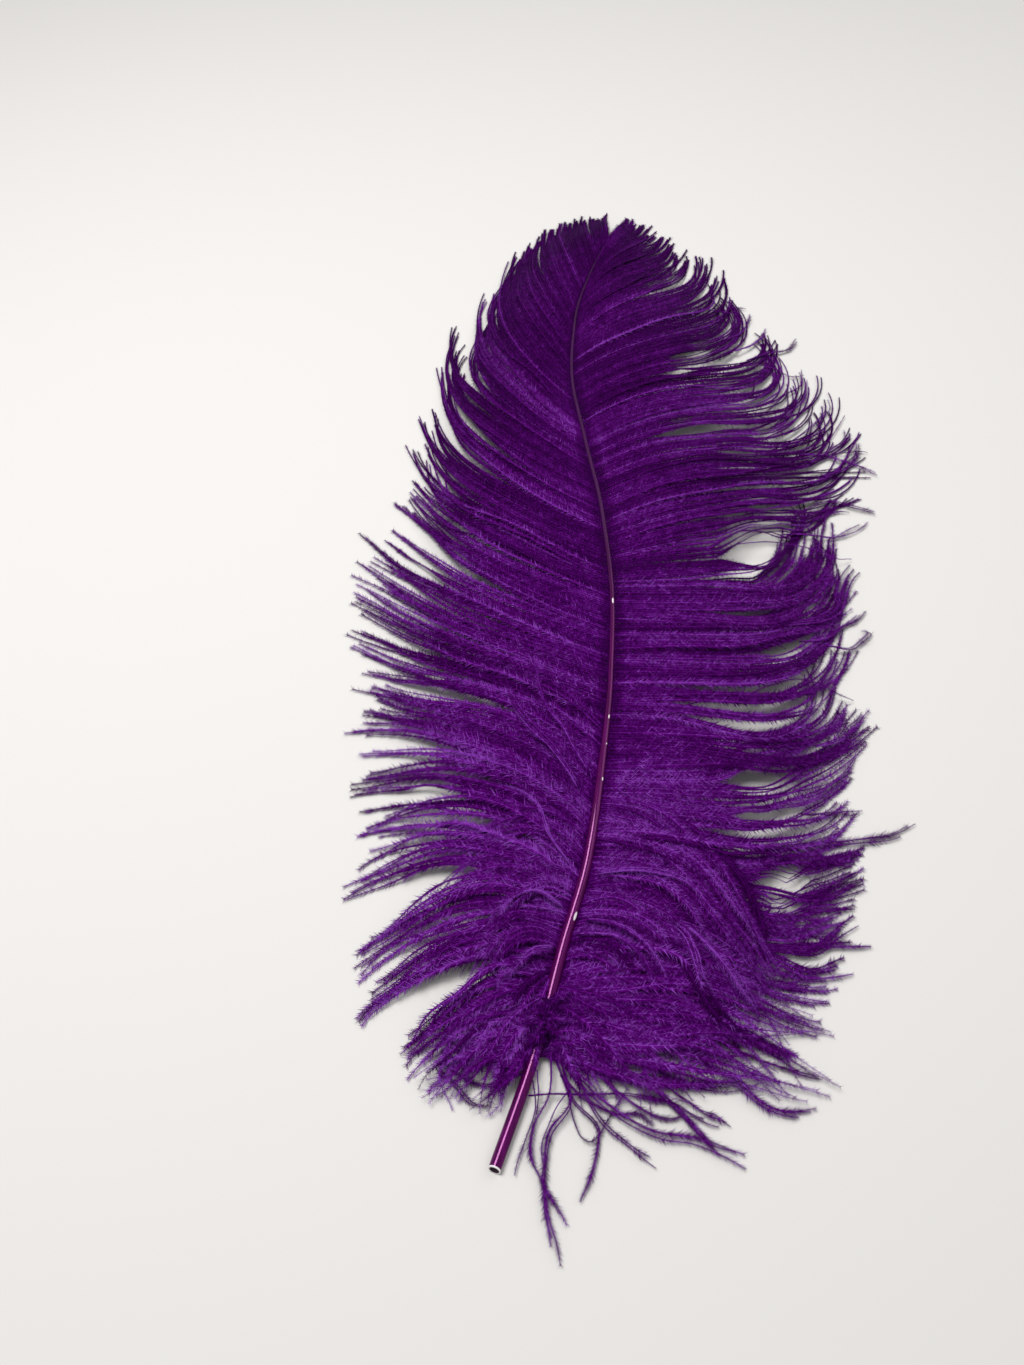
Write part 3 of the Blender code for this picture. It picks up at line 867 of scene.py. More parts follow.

        # Barbs lie in layers, and the upper ones are painted paler and the lower ones darker: painted light
        # and shade.
        layer = 0.45 * dice.random(fingers)[finger] + 0.25 * dice.random(locks)[lock]
        layer = layer + 0.30 * dice.random(count)
        layer = np.where(stray, 1.25, layer)
        lift = (loft * (layer - 0.10))[:, None] * np.sin(math.pi * np.clip(part * 0.97, 0, 1))
        points[..., 2] = np.maximum(points[..., 2] + lift, LOWEST_LINE)
        stem = self.stem_tip + (self.stem_root - self.stem_tip) * (1 - part) * np.ones((count, 1))
        blunt = (0.42 + 0.26 * near_top + 0.16 * low_down)[:, None]
        profile = fringed(part, 0.70, 0.10, blunt, 0.46)
        down = (length * dice.uniform(0.85, 1.12, count))[:, None] * profile * trim
        # The tone holds the painted light and shade of the barb's layer, the darkness toward the tip and a
        # random spread.
        tint = 0.47 + 0.24 * (layer - 0.5) - 0.21 * dark + dice.normal(0, 0.18, count)
        tint = np.clip(tint + dice.normal(0, 0.06, fingers)[finger], 0, 0.88)
        firm = 0.85 - 0.60 * low_down
        return Strands(points, stem, down, tint, firm)


@dataclass
class Fluff:
    """The loose down that lies over the vanes: short curved barbs at the foot, arches and single strands.

    Attributes:
        shaft: the shaft they grow from.
        seed: the seed of all that varies among them.
    """

    shaft: Shaft
    seed: int = 41

    def patch(self, side: Side, count: int, over_quill: bool) -> Strands:
        """Draws loose barbs at the foot of one side.

        Args:
            side: the side from which they grow.
            count: how many.
            over_quill: whether they flop over the quill, instead of spreading beside it.

        Returns:
            The barbs.
        """
        dice = np.random.default_rng(self.seed + side.value + 10 * over_quill)
        low, high = (0.053, 0.067) if over_quill else (0.044, 0.080)
        axis, start, _ = self.shaft.origins(dice.uniform(low, high, count), side)
        if over_quill:
            off = dice.uniform(-0.9, 0.3, count) * 0.012 * side.value
            tip_x, tip_y = axis[:, 0] + off, axis[:, 1] - dice.uniform(-0.004, 0.008, count)
            tip_z = axis[:, 2] + dice.uniform(0.0025, 0.0050, count)
            turn = dice.uniform(15, 75, count)
            lift = dice.uniform(0.004, 0.009, count)
        else:
            wide, near, deep = (0.122, 0.028, 0.036) if side is Side.RIGHT else (0.052, 0.024, 0.034)
            out = dice.uniform(0.12, 1.0, count)
            tip_x = start[:, 0] + side.value * wide * out
            tip_y = self.shaft.foot[1] + near + deep * dice.random(count) ** 1.3 - 0.007 * (1 - out)
            tip_z = dice.uniform(0.001, 0.005, count)
            turn = dice.uniform(-15, 50, count)
            lift = dice.uniform(0.001, 0.009, count)
        tip = np.stack([tip_x, tip_y, tip_z], axis=-1)
        run = tip - start
        reach = np.linalg.norm(run, axis=1)
        first = start + turned(run, side.value * turn) * 0.42
        last = tip - turned(run, -side.value * turn * dice.uniform(0.3, 1.0, count)) * 0.40
        first[:, 2] += lift
        last[:, 2] += lift
        wave = waves(dice, count, PARTS, 0.8, 2.2) * (reach * 0.05)[:, None] * PARTS
        points = swayed(swept(start, first, last, tip), wave)
        points[..., 2] = np.maximum(points[..., 2], LOWEST_LINE)
        stem = tapered(0.00018, 0.0001, count, PARTS)
        down = dice.uniform(0.0026, 0.0042, count)[:, None] * fringed(PARTS, 0.5, 0.15, 0.4, 0.5)
        tint = dice.normal(0.40 if over_quill else 0.54, 0.17, count)
        return Strands(points, stem, down, np.clip(tint, 0, 1), np.full(count, 0.1))

    def arches(self, side: Side, bundles: int) -> Strands:
        """Draws bundles of barbs that lie loose on the lower half and arch down over it.

        Args:
            side: the side from which they grow.
            bundles: how many bundles.

        Returns:
            The barbs.
        """
        dice = np.random.default_rng(self.seed + 20 + side.value)
        bundle = dealt(dice, bundles * 4, 2, 7)
        count = len(bundle)
        kinds = bundle.max() + 1
        table = Track(RIGHT_ARCHES if side is Side.RIGHT else LEFT_ARCHES)
        low, high = table.places[0], table.places[-1]
        roots = dice.uniform(low, high, kinds)[bundle] + dice.normal(0, 0.0022, count)
        leaves, out, up, arrives = np.moveaxis(table.at(roots), -1, 0)
        axis, start, _ = self.shaft.origins(roots, side)
        leaves = leaves + dice.normal(0, 7, kinds)[bundle] + dice.normal(0, 3, count)
        size = dice.uniform(0.62, 1.08, kinds)[bundle] * dice.uniform(0.90, 1.0, count)
        arrives = arrives + dice.normal(0, 12, kinds)[bundle] + dice.normal(0, 5, count)
        tip = start + level(side.value * out * size, up * size)
        tip[:, 2] = dice.uniform(0.002, 0.007, kinds)[bundle]
        reach = np.hypot(out, up) * size
        outward = level(np.full(count, float(side.value)), np.zeros(count))
        first = start + turned(outward, side.value * leaves) * (reach * 0.50)[:, None]
        last = tip - turned(outward, side.value * arrives) * (reach * 0.42)[:, None]
        rise = dice.uniform(0.002, 0.008, kinds)[bundle] + dice.normal(0, 0.0006, count)
        first[:, 2] = axis[:, 2] + rise
        last[:, 2] += 0.007 + rise * 0.6
        wave = waves(dice, kinds, PARTS, 0.4, 1.2)[bundle] * 0.0020 * PARTS
        wave = wave + waves(dice, count, PARTS, 1, 2.4) * 0.0005
        points = swayed(swept(start, first, last, tip), wave)
        points[..., 2] = np.clip(points[..., 2], LOWEST_LINE, 0.0250)
        stem = tapered(0.00020, 0.00011, count, PARTS)
        down = dice.uniform(0.0023, 0.0034, count)[:, None] * fringed(PARTS, 0.6, 0.12, 0.36, 0.5)
        tint = 0.53 + dice.normal(0, 0.08, kinds)[bundle] + dice.normal(0, 0.15, count)
        return Strands(points, stem, down, np.clip(tint, 0, 1), np.full(count, 0.15))

    def routed(self, kinds: tuple[Kind, ...]) -> Strands:
        """Draws the single strands that can be told apart.

        Args:
            kinds: the kinds that are wanted.

        Returns:
            The strands.
        """
        dice = np.random.default_rng(self.seed + 7 + len(kinds))
        part = np.linspace(0, 1, 41)
        routes, styles = [], []
        for kind, route in STRANDS:
            track = np.array(route, float) / MILLIMETRES_IN_METRE
            lines, spread = kind.value[:2]
            for _ in range(lines if kind in kinds else 0):
                fanned = 0.35 + 0.65 * np.linspace(0, 1, len(track))[:, None]
                shift = dice.normal(0, spread, (1, 2)) * fanned
                routes.append(smooth_route(track + shift, part * dice.uniform(0.86, 1.0)))
                styles.append(kind.value[2:])
        count = len(routes)
        down, tint, rise, height = np.array(styles).T
        points = np.zeros((count, len(part), 3))
        points[..., :2] = np.stack(routes)
        arch = np.sin(math.pi * part) ** 0.7
        points[..., 2] = 0.0020 + rise[:, None] * arch + height[:, None] * (1 - part) ** 2
        points = swayed(points + self.shaft.foot, waves(dice, count, part, 1.0, 3.0) * 0.0005 * part)
        stem = tapered(0.00032, 0.00018, count, part)
        lumps = 1 + 0.40 * np.sin(waves(dice, count, part, 2.0, 5.0))
        down = down[:, None] * (0.60 + 0.45 * np.sin(math.pi * part ** 2.2)) * lumps
        tint = np.clip(tint + dice.normal(0, 0.12, count), 0, 1)
        return Strands(points, stem, down, tint, np.full(count, 0.4))


class Nodes:
    """A node tree that is built one node at a time."""

    def __init__(self, tree: bpy.types.NodeTree) -> None:
        """Takes the tree that the nodes go into."""
        self.tree = tree

    def add(self, kind: str, inputs: dict | None = None, **settings: object) -> bpy.types.Node:
        """Adds a node.

        Args:
            kind: the node's type.
            inputs: what its inputs are linked or set to, by name or number.
            settings: its properties.

        Returns:
            The node.
        """
        node = self.tree.nodes.new(kind)
        for name, value in settings.items():
            setattr(node, name, value)
        for name, value in (inputs or {}).items():
            self.give(node.inputs[name], value)
        return node

    def give(self, socket: Socket, value: object) -> None:
        """Links or sets one socket."""
        if isinstance(value, Socket):
            self.tree.links.new(value, socket)
        else:
            socket.default_value = value

    def times(self, value: object, factor: object, plus: object = 0.0) -> Socket:
        """Multiplies two numbers and adds a third."""
        return self.add("ShaderNodeMath", {0: value, 1: factor, 2: plus}, operation="MULTIPLY_ADD").outputs[0]


class BarbTree(Nodes):
    """The Geometry Nodes tree that turns bare barb lines into stems with a fringe of barbules."""

    INPUTS = {
        "Barbule Spacing": "Float",
        "Roll Spread": "Float",
        "Yaw Spread": "Float",
        "Length Spread": "Float",
        "Stem Sides": "Int",
        "Seed": "Int",
        "Blade": "Object",
        "Stem Finish": "Material",
        "Down Finish": "Material",
    }

    def __init__(self, webbed: bool) -> None:
        """Builds the tree.

        Args:
            webbed: whether each barb also gets the close inner part of its down.
        """
        super().__init__(bpy.data.node_groups.new("barb_tree", "GeometryNodeTree"))
        self.sockets: dict[str, str] = {}
        face = self.tree.interface
        face.new_socket(name="Geometry", in_out="INPUT", socket_type="NodeSocketGeometry")
        for name, kind in self.INPUTS.items():
            socket = face.new_socket(name=name, in_out="INPUT", socket_type=f"NodeSocket{kind}")
            self.sockets[name] = socket.identifier
        face.new_socket(name="Geometry", in_out="OUTPUT", socket_type="NodeSocketGeometry")
        self.given = self.add("NodeGroupInput").outputs
        lines = self.add("GeometryNodeMeshToCurve", {"Mesh": self.given["Geometry"]}).outputs["Curve"]
        joined = self.add("GeometryNodeJoinGeometry")
        self.give(joined.inputs[0], self.fringe(lines))
        self.give(joined.inputs[0], self.stems(lines))
        if webbed:
            self.give(joined.inputs[0], self.webs(lines))
        self.add("NodeGroupOutput", {0: joined.outputs[0]})

    def attribute(self, name: str) -> Socket:
        """Reads a named attribute of the lines."""
        node = self.add("GeometryNodeInputNamedAttribute", {"Name": name}, data_type="FLOAT")
        return node.outputs["Attribute"]

    def varied(self, low: float, high: float, seed_shift: int) -> Socket:
        """Gives a random number for each point.

        Args:
            low: the least value.
            high: the highest value.
            seed_shift: what is added to the seed.

        Returns:
            The socket with the number.
        """
        seed = self.add("ShaderNodeMath", {0: self.given["Seed"], 1: float(seed_shift)})
        random = self.add("FunctionNodeRandomValue", {"Seed": seed.outputs[0], 2: low, 3: high},
                          data_type="FLOAT")
        return random.outputs[1]

    def marked(self, geometry: Socket, name: str, value: Socket,
               domain: str = "POINT") -> Socket:
        """Stores a number on geometry under a name."""
        inputs = {"Geometry": geometry, "Name": name, "Value": value}
        node = self.add("GeometryNodeStoreNamedAttribute", inputs, data_type="FLOAT", domain=domain)
        return node.outputs[0]

    def finished(self, geometry: Socket, finish: str) -> Socket:
        """Makes instances real and gives the geometry one of the tree's materials."""
        real = self.add("GeometryNodeRealizeInstances", {"Geometry": geometry})
        inputs = {"Geometry": real.outputs[0], "Material": self.given[finish]}
        return self.add("GeometryNodeSetMaterial", inputs).outputs[0]

    def fringe(self, lines: Socket) -> Socket:
        """Sets a pair of barbules at every step along each line.

        Args:
            lines: the barb lines.

        Returns:
            The barbules, as real geometry.
        """
        gap = self.times(self.attribute("gap"), self.given["Barbule Spacing"])
        steps = self.add("GeometryNodeResampleCurve", {"Curve": lines, "Length": gap}, mode="LENGTH")
        tangent = self.add("GeometryNodeInputTangent")
        facing = self.add("FunctionNodeAxesToRotation",
                          {"Primary Axis": tangent.outputs[0], "Secondary Axis": (0.0, 0.0, 1.0)},
                          primary_axis="X", secondary_axis="Z")
        roll = self.times(self.varied(-1.0, 1.0, 1), self.given["Roll Spread"])
        yaw = self.times(self.varied(-1.0, 1.0, 2), self.given["Yaw Spread"])
        turn = self.add("ShaderNodeCombineXYZ", {"X": roll, "Z": yaw})
        spun = self.add("FunctionNodeEulerToRotation", {"Euler": turn.outputs[0]})
        rotation = self.add("FunctionNodeRotateRotation",
                            {"Rotation": facing.outputs[0], "Rotate By": spun.outputs[0]},
                            rotation_space="LOCAL")
        uneven = self.times(self.varied(-1.0, 1.0, 3), self.given["Length Spread"], 1.0)
        length = self.times(self.attribute("down"), uneven)
        blade = self.add("GeometryNodeObjectInfo", {"Object": self.given["Blade"], "As Instance": True})
        placed = self.add("GeometryNodeInstanceOnPoints",
                          {"Points": steps.outputs[0], "Instance": blade.outputs["Geometry"],
                           "Rotation": rotation.outputs[0], "Scale": length})
        marked = self.marked(placed.outputs[0], "fleck", self.varied(0.0, 1.0, 4), "INSTANCE")
        return self.finished(marked, "Down Finish")

    def stems(self, lines: Socket) -> Socket:
        """Gives each line its stem, a fine tapering rod.

        Args:
            lines: the barb lines.

        Returns:
            The stems, as real geometry.
        """
        circle = self.add("GeometryNodeCurvePrimitiveCircle",
                          {"Resolution": self.given["Stem Sides"], "Radius": 1.0})
        number = self.add("GeometryNodeInputIndex")
        profile = self.marked(circle.outputs[0], "aside", self.times(number.outputs[0], 0.3, -0.3))
        rods = self.add("GeometryNodeCurveToMesh", {"Curve": lines, "Profile Curve": profile,
                                                    "Scale": self.attribute("stem"), "Fill Caps": True})
        return self.finished(rods.outputs[0], "Stem Finish")

    def webs(self, lines: Socket) -> Socket:
        """Gives each line the close inner part of its down, where single barbules can't be told apart.

        Args:
            lines: the barb lines.

        Returns:
            The flat ribbons, as real geometry.
        """
        flat = self.add("GeometryNodeSetCurveNormal", {"Curve": lines}, mode="Z_UP")
        width = self.add("GeometryNodeCurvePrimitiveLine", {"Start": (-1.0, 0.0, 0.0), "End": (1, 0, 0)})
        number = self.add("GeometryNodeInputIndex")
        profile = self.marked(width.outputs[0], "aside", self.times(number.outputs[0], 1.6, -0.8))
        ribbons = self.add("GeometryNodeCurveToMesh", {"Curve": flat.outputs[0], "Profile Curve": profile,
                                                       "Scale": self.attribute("web")})
        return self.finished(ribbons.outputs[0], "Down Finish")


@dataclass
class Down:
    """Turns strands into finished pieces of down.

    Attributes:
        stem_finish: the material of the barbs' stems.
        down_finish: the material of the barbules.
        spacing: the step between barbules along a barb, over their length.
        base: half the width of a barbule where it grows, over its length.
        web: half the width of the close inner part, over the barbules' length, or 0 for none.
        roll: how far barbules turn about their barb at most, in radians.
        yaw: how far they lean along it at most, in radians.
        uneven: how much longer or shorter they are at most, over their length.
        sides: faces around a stem.
        limit: the most triangles that one piece may have.
    """

    stem_finish: bpy.types.Material
    down_finish: bpy.types.Material
    spacing: float = 0.187
    base: float = 0.085
    web: float = 0.28
    roll: float = 0.85
    yaw: float = 0.22
    uneven: float = 0.35
    sides: int = 3
    limit: int = 190_000

    def __post_init__(self) -> None:
        """Makes the tree that all its pieces share."""
        self.tree = BarbTree(self.web > 0)

    def blade(self) -> bpy.types.Object:
        """Makes the pair of barbules that is set along the barbs, each about one unit long."""
        mesh = bpy.data.meshes.new("blade")
        points = [(-self.base, 0, 0), (self.base, 0, 0), (0.70, 0.70, -0.10), (0.62, -0.76, -0.16)]
        mesh.from_pydata(points, [], [(0, 1, 2), (1, 0, 3)])
        carry(mesh, {"aside": (0, 0, 1, -1), "onward": (-0.1, 0.1, 1.0, 1.0)})
        return linked("blade", mesh)

    def gaps(self, strands: Strands) -> np.ndarray:
        """Gives the mean length of each strand's barbules, which sets the step between them."""
        return strands.down.mean(axis=1)

    def triangles(self, strands: Strands) -> np.ndarray:
        """Counts the triangles that each strand will have."""
        stem = (strands.points.shape[1] - 1) * 2 * (self.sides + (self.web > 0)) + 2 * (self.sides - 2)
        return 2 * (np.floor(strands.lengths() / (self.spacing * self.gaps(strands))) + 1) + stem

    def portions(self, strands: Strands) -> list[Strands]:
        """Parts the strands, in order, into groups that each stay under the limit."""
        total = np.cumsum(self.triangles(strands))
        count = math.ceil(total[-1] / self.limit)
        group = np.minimum((total / total[-1] * count).astype(int), count - 1)
        return [strands.pick(group == k) for k in range(count)]

    def lines(self, strands: Strands) -> bpy.types.Mesh:
        """Makes a mesh of bare lines that carries what the tree reads."""
        count, stations = strands.points.shape[:2]
        mesh = bpy.data.meshes.new("barb_lines")
        start = np.arange(count * stations).reshape(count, stations)
        edges = np.stack([start[:, :-1].ravel(), start[:, 1:].ravel()], axis=1)
        mesh.from_pydata(strands.points.reshape(-1, 3).tolist(), edges.tolist(), [])
        parts = np.linspace(0, 1, stations)
        narrowing = 1 - (1 - strands.firm[:, None]) * eased((parts - 0.30) / 0.62)
        whole = np.ones((count, stations))
        carry(mesh, {
            "stem": strands.stem,
            "down": strands.down,
            "web": strands.down * self.web * narrowing,
            "tint": strands.tint[:, None] * whole,
            "along": parts * whole,
            "number": ((np.arange(count) + 0.5) / count)[:, None] * whole,
            "gap": self.gaps(strands)[:, None] * whole,
        })
        return mesh

    def build(self, name: str, strands: Strands, seed: int) -> bpy.types.Object:
        """Makes one piece.

        Args:
            name: the piece's name.
            strands: its barbs.
            seed: the seed of its barbules.

        Returns:
            The finished object, a plain mesh.
        """
        source = linked("barb_lines", self.lines(strands))
        blade = self.blade()
        grown = source.modifiers.new("barbs", "NODES")
        grown.node_group = self.tree.tree
        values = (self.spacing, self.roll, self.yaw, self.uneven, self.sides, seed, blade, self.stem_finish,
                  self.down_finish)
        for key, value in zip(BarbTree.INPUTS, values):
            grown[self.tree.sockets[key]] = value
        graph = bpy.context.evaluated_depsgraph_get()
        mesh = bpy.data.meshes.new_from_object(source.evaluated_get(graph), preserve_all_data_layers=True,
                                               depsgraph=graph)
        mesh.name = name
        bpy.data.objects.remove(source)
        bpy.data.objects.remove(blade)
        self.rest_on_table(mesh)
        self.unwrap(mesh)
        return linked(name, mesh)

    def rest_on_table(self, mesh: bpy.types.Mesh) -> None:
        """Lifts whatever would reach into the table."""
        places = np.empty(len(mesh.vertices) * 3, np.float32)
        mesh.vertices.foreach_get("co", places)
        places = places.reshape(-1, 3)
        places[:, 2] = np.maximum(places[:, 2], LOWEST_POINT)
        mesh.vertices.foreach_set("co", places.ravel())
        mesh.update()

    def unwrap(self, mesh: bpy.types.Mesh) -> None:
        """Lays every barb in its own strip of one UV map, named OFBake."""
        corner = np.empty(len(mesh.loops), np.int32)
        mesh.loops.foreach_get("vertex_index", corner)
        names = ("number", "along", "aside", "onward")
        number, along, aside, onward = (self.values(mesh, name)[corner] for name in names)
        strip = np.diff(np.unique(number)).min() * 0.45
        places = np.stack([number + aside * strip, np.clip(along * 0.98 + onward * 0.01, 0, 1)], axis=1)
        mesh.uv_layers.new(name="OFBake").data.foreach_set("uv", places.astype(np.float32).ravel())

    def values(self, mesh: bpy.types.Mesh, name: str) -> np.ndarray:
        """Reads one number for each vertex, 0 where the mesh doesn't carry it."""
        values = np.zeros(len(mesh.vertices), np.float32)
        if name in mesh.attributes:
            mesh.attributes[name].data.foreach_get("value", values)
        return values


class Paint(Nodes):
    """Helpers that build a procedural material on a Principled surface."""

    def __init__(self, name: str) -> None:
        """Starts a material with its Principled surface."""
        self.material = bpy.data.materials.new(name)
        self.material.use_nodes = True
        super().__init__(self.material.node_tree)

    def attribute(self, name: str) -> Socket:
        """Reads a named attribute as a number."""
        return self.add("ShaderNodeAttribute", attribute_name=name).outputs["Fac"]

    def noise(self, where: Socket, scale: float, detail: float) -> Socket:
        """Gives a noise, from 0 to 1."""
        inputs = {"Vector": where, "Scale": scale, "Detail": detail}
        return self.add("ShaderNodeTexNoise", inputs).outputs["Fac"]

    def mapped(self, value: Socket, start: float, end: float, low: float = 0.0,
               high: float = 1.0) -> Socket:
        """Maps a number from one range to another and keeps it there."""
        inputs = {"Value": value, "From Min": start, "From Max": end, "To Min": low, "To Max": high}
        return self.add("ShaderNodeMapRange", inputs).outputs[0]

    def blended(self, part: Socket, one: object, other: object) -> Socket:
        """Blends two colours."""
        return self.add("ShaderNodeMix", {0: part, 6: one, 7: other}, data_type="RGBA").outputs[2]

    def ramp(self, value: object, stops: tuple[tuple[float, tuple[float, ...]], ...]) -> Socket:
        """Turns a number into a colour along a row of stops."""
        node = self.add("ShaderNodeValToRGB", {"Fac": value})
        while len(node.color_ramp.elements) < len(stops):
            node.color_ramp.elements.new(0.5)
        for element, (place, color) in zip(node.color_ramp.elements, stops):
            element.position = place
            element.color = (*color, 1.0)
        return node.outputs["Color"]

    def coat(self, values: dict[str, object]) -> bpy.types.Material:
        """Links or sets inputs of the surface.

        Args:
            values: what each is linked or set to, by its name.

        Returns:
            The material.
        """
        for name, value in values.items():
            self.give(self.tree.nodes["Principled BSDF"].inputs[name], value)
        return self.material


@dataclass(frozen=True)
class DownFinish:
    """The dyed down of the barbs, with the painted light and shade that each barb's tone carries.

    Attributes:
        name: the material's name.
        dark: the colour of the darkest barbs, towards its tip and where painted shade falls in the depth of
            the plume.
        deep: the usual colour.
        bright: the colour of the pale barbs.
        pale: the colour of the palest ones.
        painted_highlight: how much paler it is than the barbules' finish, a painted highlight such as the
            light that the stems catch.
        roughness: how matte it is.
        specular: how strongly it reflects.
        gleam: the colour of what it reflects.
        sheen: the weight and the roughness of its soft outer glow.
        glow: the colour of that glow.
        grain: its noises, which are fuzz, broad patches and tufts: scale, detail and weight.
        fleck: how much the barbules differ from one another.
        balance: what brings the sum of the noises to about 0.
        root: where the painted shade at a barb's root, along the shaft, begins to fade, where it has faded,
            and how dark it is.
    """

    name: str
    dark: Color = (0.022, 0.0002, 0.036)
    deep: Color = (0.072, 0.0012, 0.118)
    bright: Color = (0.130, 0.0100, 0.220)
    pale: Color = (0.215, 0.0480, 0.370)
    painted_highlight: float = 0.0
    roughness: float = 0.60
    specular: float = 0.05
    gleam: Color = (0.50, 0.04, 0.90)
    sheen: tuple[float, float] = (0.10, 0.45)
    glow: Color = (0.45, 0.04, 0.90)
    grain: Rows = ((700.0, 1.0, 0.80), (26.0, 2.0, 0.55), (170.0, 2.0, 0.55))
    fleck: float = 0.54
    balance: float = -1.13
    root: tuple[float, float, float] = (0.005, 0.03, -0.40)

    def make(self) -> bpy.types.Material:
        """Builds the material."""
        paint = Paint(self.name)
        where = paint.add("ShaderNodeTexCoord").outputs["Object"]
        shade = self.painted_highlight + self.balance
        for scale, detail, weight in self.grain:
            shade = paint.times(paint.noise(where, scale, detail), weight, shade)
        # Barbules carry a random fleck and the webs carry none, so the webs come out darker: painted shade
        # beneath the barbules.
        shade = paint.times(paint.attribute("fleck"), self.fleck, shade)
        # Barbs are darkened near their roots: painted shade along the shaft.
        root = paint.mapped(paint.attribute("along"), *self.root, 0.0)
        shade = paint.add("ShaderNodeMath", {0: shade, 1: root}).outputs[0]
        shade = paint.add("ShaderNodeMath", {0: paint.attribute("tint"), 1: shade}, use_clamp=True).outputs[0]
        stops = ((0.0, self.dark), (0.5, self.deep), (0.8, self.bright), (1.0, self.pale))
        return paint.coat({
            "Base Color": paint.ramp(shade, stops),
            "Roughness": self.roughness,
            "Specular IOR Level": self.specular,
            "Specular Tint": (*self.gleam, 1.0),
            "Sheen Weight": self.sheen[0],
            "Sheen Roughness": self.sheen[1],
            "Sheen Tint": (*self.glow, 1.0),
        })


@dataclass(frozen=True)
class CutFinish:
    """The plain colour of what the snip has bared; on the hollow's wall it is a dark colour, painted shade
    inside the bore.

    Attributes:
        name: the material's name.
        color: its colour.
        roughness: how matte it is.
    """

    name: str
    color: Color
    roughness: float

    def make(self) -> bpy.types.Material:
        """Builds the material."""
        return Paint(self.name).coat({"Base Color": (*self.color, 1.0), "Roughness": self.roughness})


@dataclass(frozen=True)
class QuillFinish:
    """The dyed keratin of the shaft, glossy on the quill and dull on the rachis.

    Attributes:
        name: the material's name.
        quill: the quill's colour.
        rachis: the rachis's colour.
        gloss: the roughness of the quill and of the rachis.
        specular: how strongly it reflects.
        gleam: the colour of what it reflects.
        pith: the undyed colour, which shows where the dye has chipped.
        streaks: how fine the streaks of its colour are, across, along and in depth.
        unevenness: how dark and how light they get.
    """

    name: str
    quill: Color = (0.062, 0.0004, 0.056)
    rachis: Color = (0.030, 0.0020, 0.040)
    gloss: tuple[float, float] = (0.08, 0.42)
    specular: float = 0.60
    gleam: Color = (1.0, 0.36, 0.84)
    pith: Color = (0.80, 0.74, 0.76)
    streaks: tuple[float, float, float] = (600.0, 26.0, 600.0)
    unevenness: tuple[float, float] = (0.65, 1.35)

    def make(self, shaft: Shaft) -> bpy.types.Material:
        """Builds the material.

        Args:
            shaft: the shaft, by which the chips and the change to the rachis are placed.

        Returns:
            The material.
        """
        paint = Paint(self.name)
        where = paint.add("ShaderNodeTexCoord").outputs["Object"]
        streaks = paint.add("ShaderNodeMapping", {"Vector": where, "Scale": self.streaks})
        shade = paint.mapped(paint.noise(streaks.outputs[0], 1.0, 2.0), 0.3, 0.7, *self.unevenness)
        parts = paint.add("ShaderNodeSeparateXYZ", {0: where})
        upward = paint.mapped(parts.outputs["Y"], *(shaft.foot[1] + place for place in shaft.matte))
        dyed = paint.blended(upward, (*self.quill, 1.0), (*self.rachis, 1.0))
        body = paint.add("ShaderNodeVectorMath", {0: dyed, "Scale": shade}, operation="SCALE")
        color = body.outputs[0]
        for along, turn, length, width in CHIPS:
            _, direction, _ = shaft.axis(np.array([along]))
            ring = shaft.ring_points(np.array([along]), np.zeros(1))[0]
            spot = ring[round(turn / 360 * shaft.sides)]
            angle = math.atan2(direction[0, 1], direction[0, 0])
            near = paint.add("ShaderNodeMapping",
                             {"Vector": where, "Location": tuple(spot), "Rotation": (0.0, 0.0, angle),
                              "Scale": (length, width, width)}, vector_type="TEXTURE")
            far = paint.add("ShaderNodeVectorMath", {0: near.outputs[0]}, operation="LENGTH")
            bare = paint.mapped(far.outputs["Value"], 1.0, 0.75)
            color = paint.blended(bare, color, (*self.pith, 1.0))
        return paint.coat({
            "Base Color": color,
            "Roughness": paint.mapped(upward, 0.0, 1.0, *self.gloss),
            "Specular IOR Level": self.specular,
            "Specular Tint": (*self.gleam, 1.0),
        })


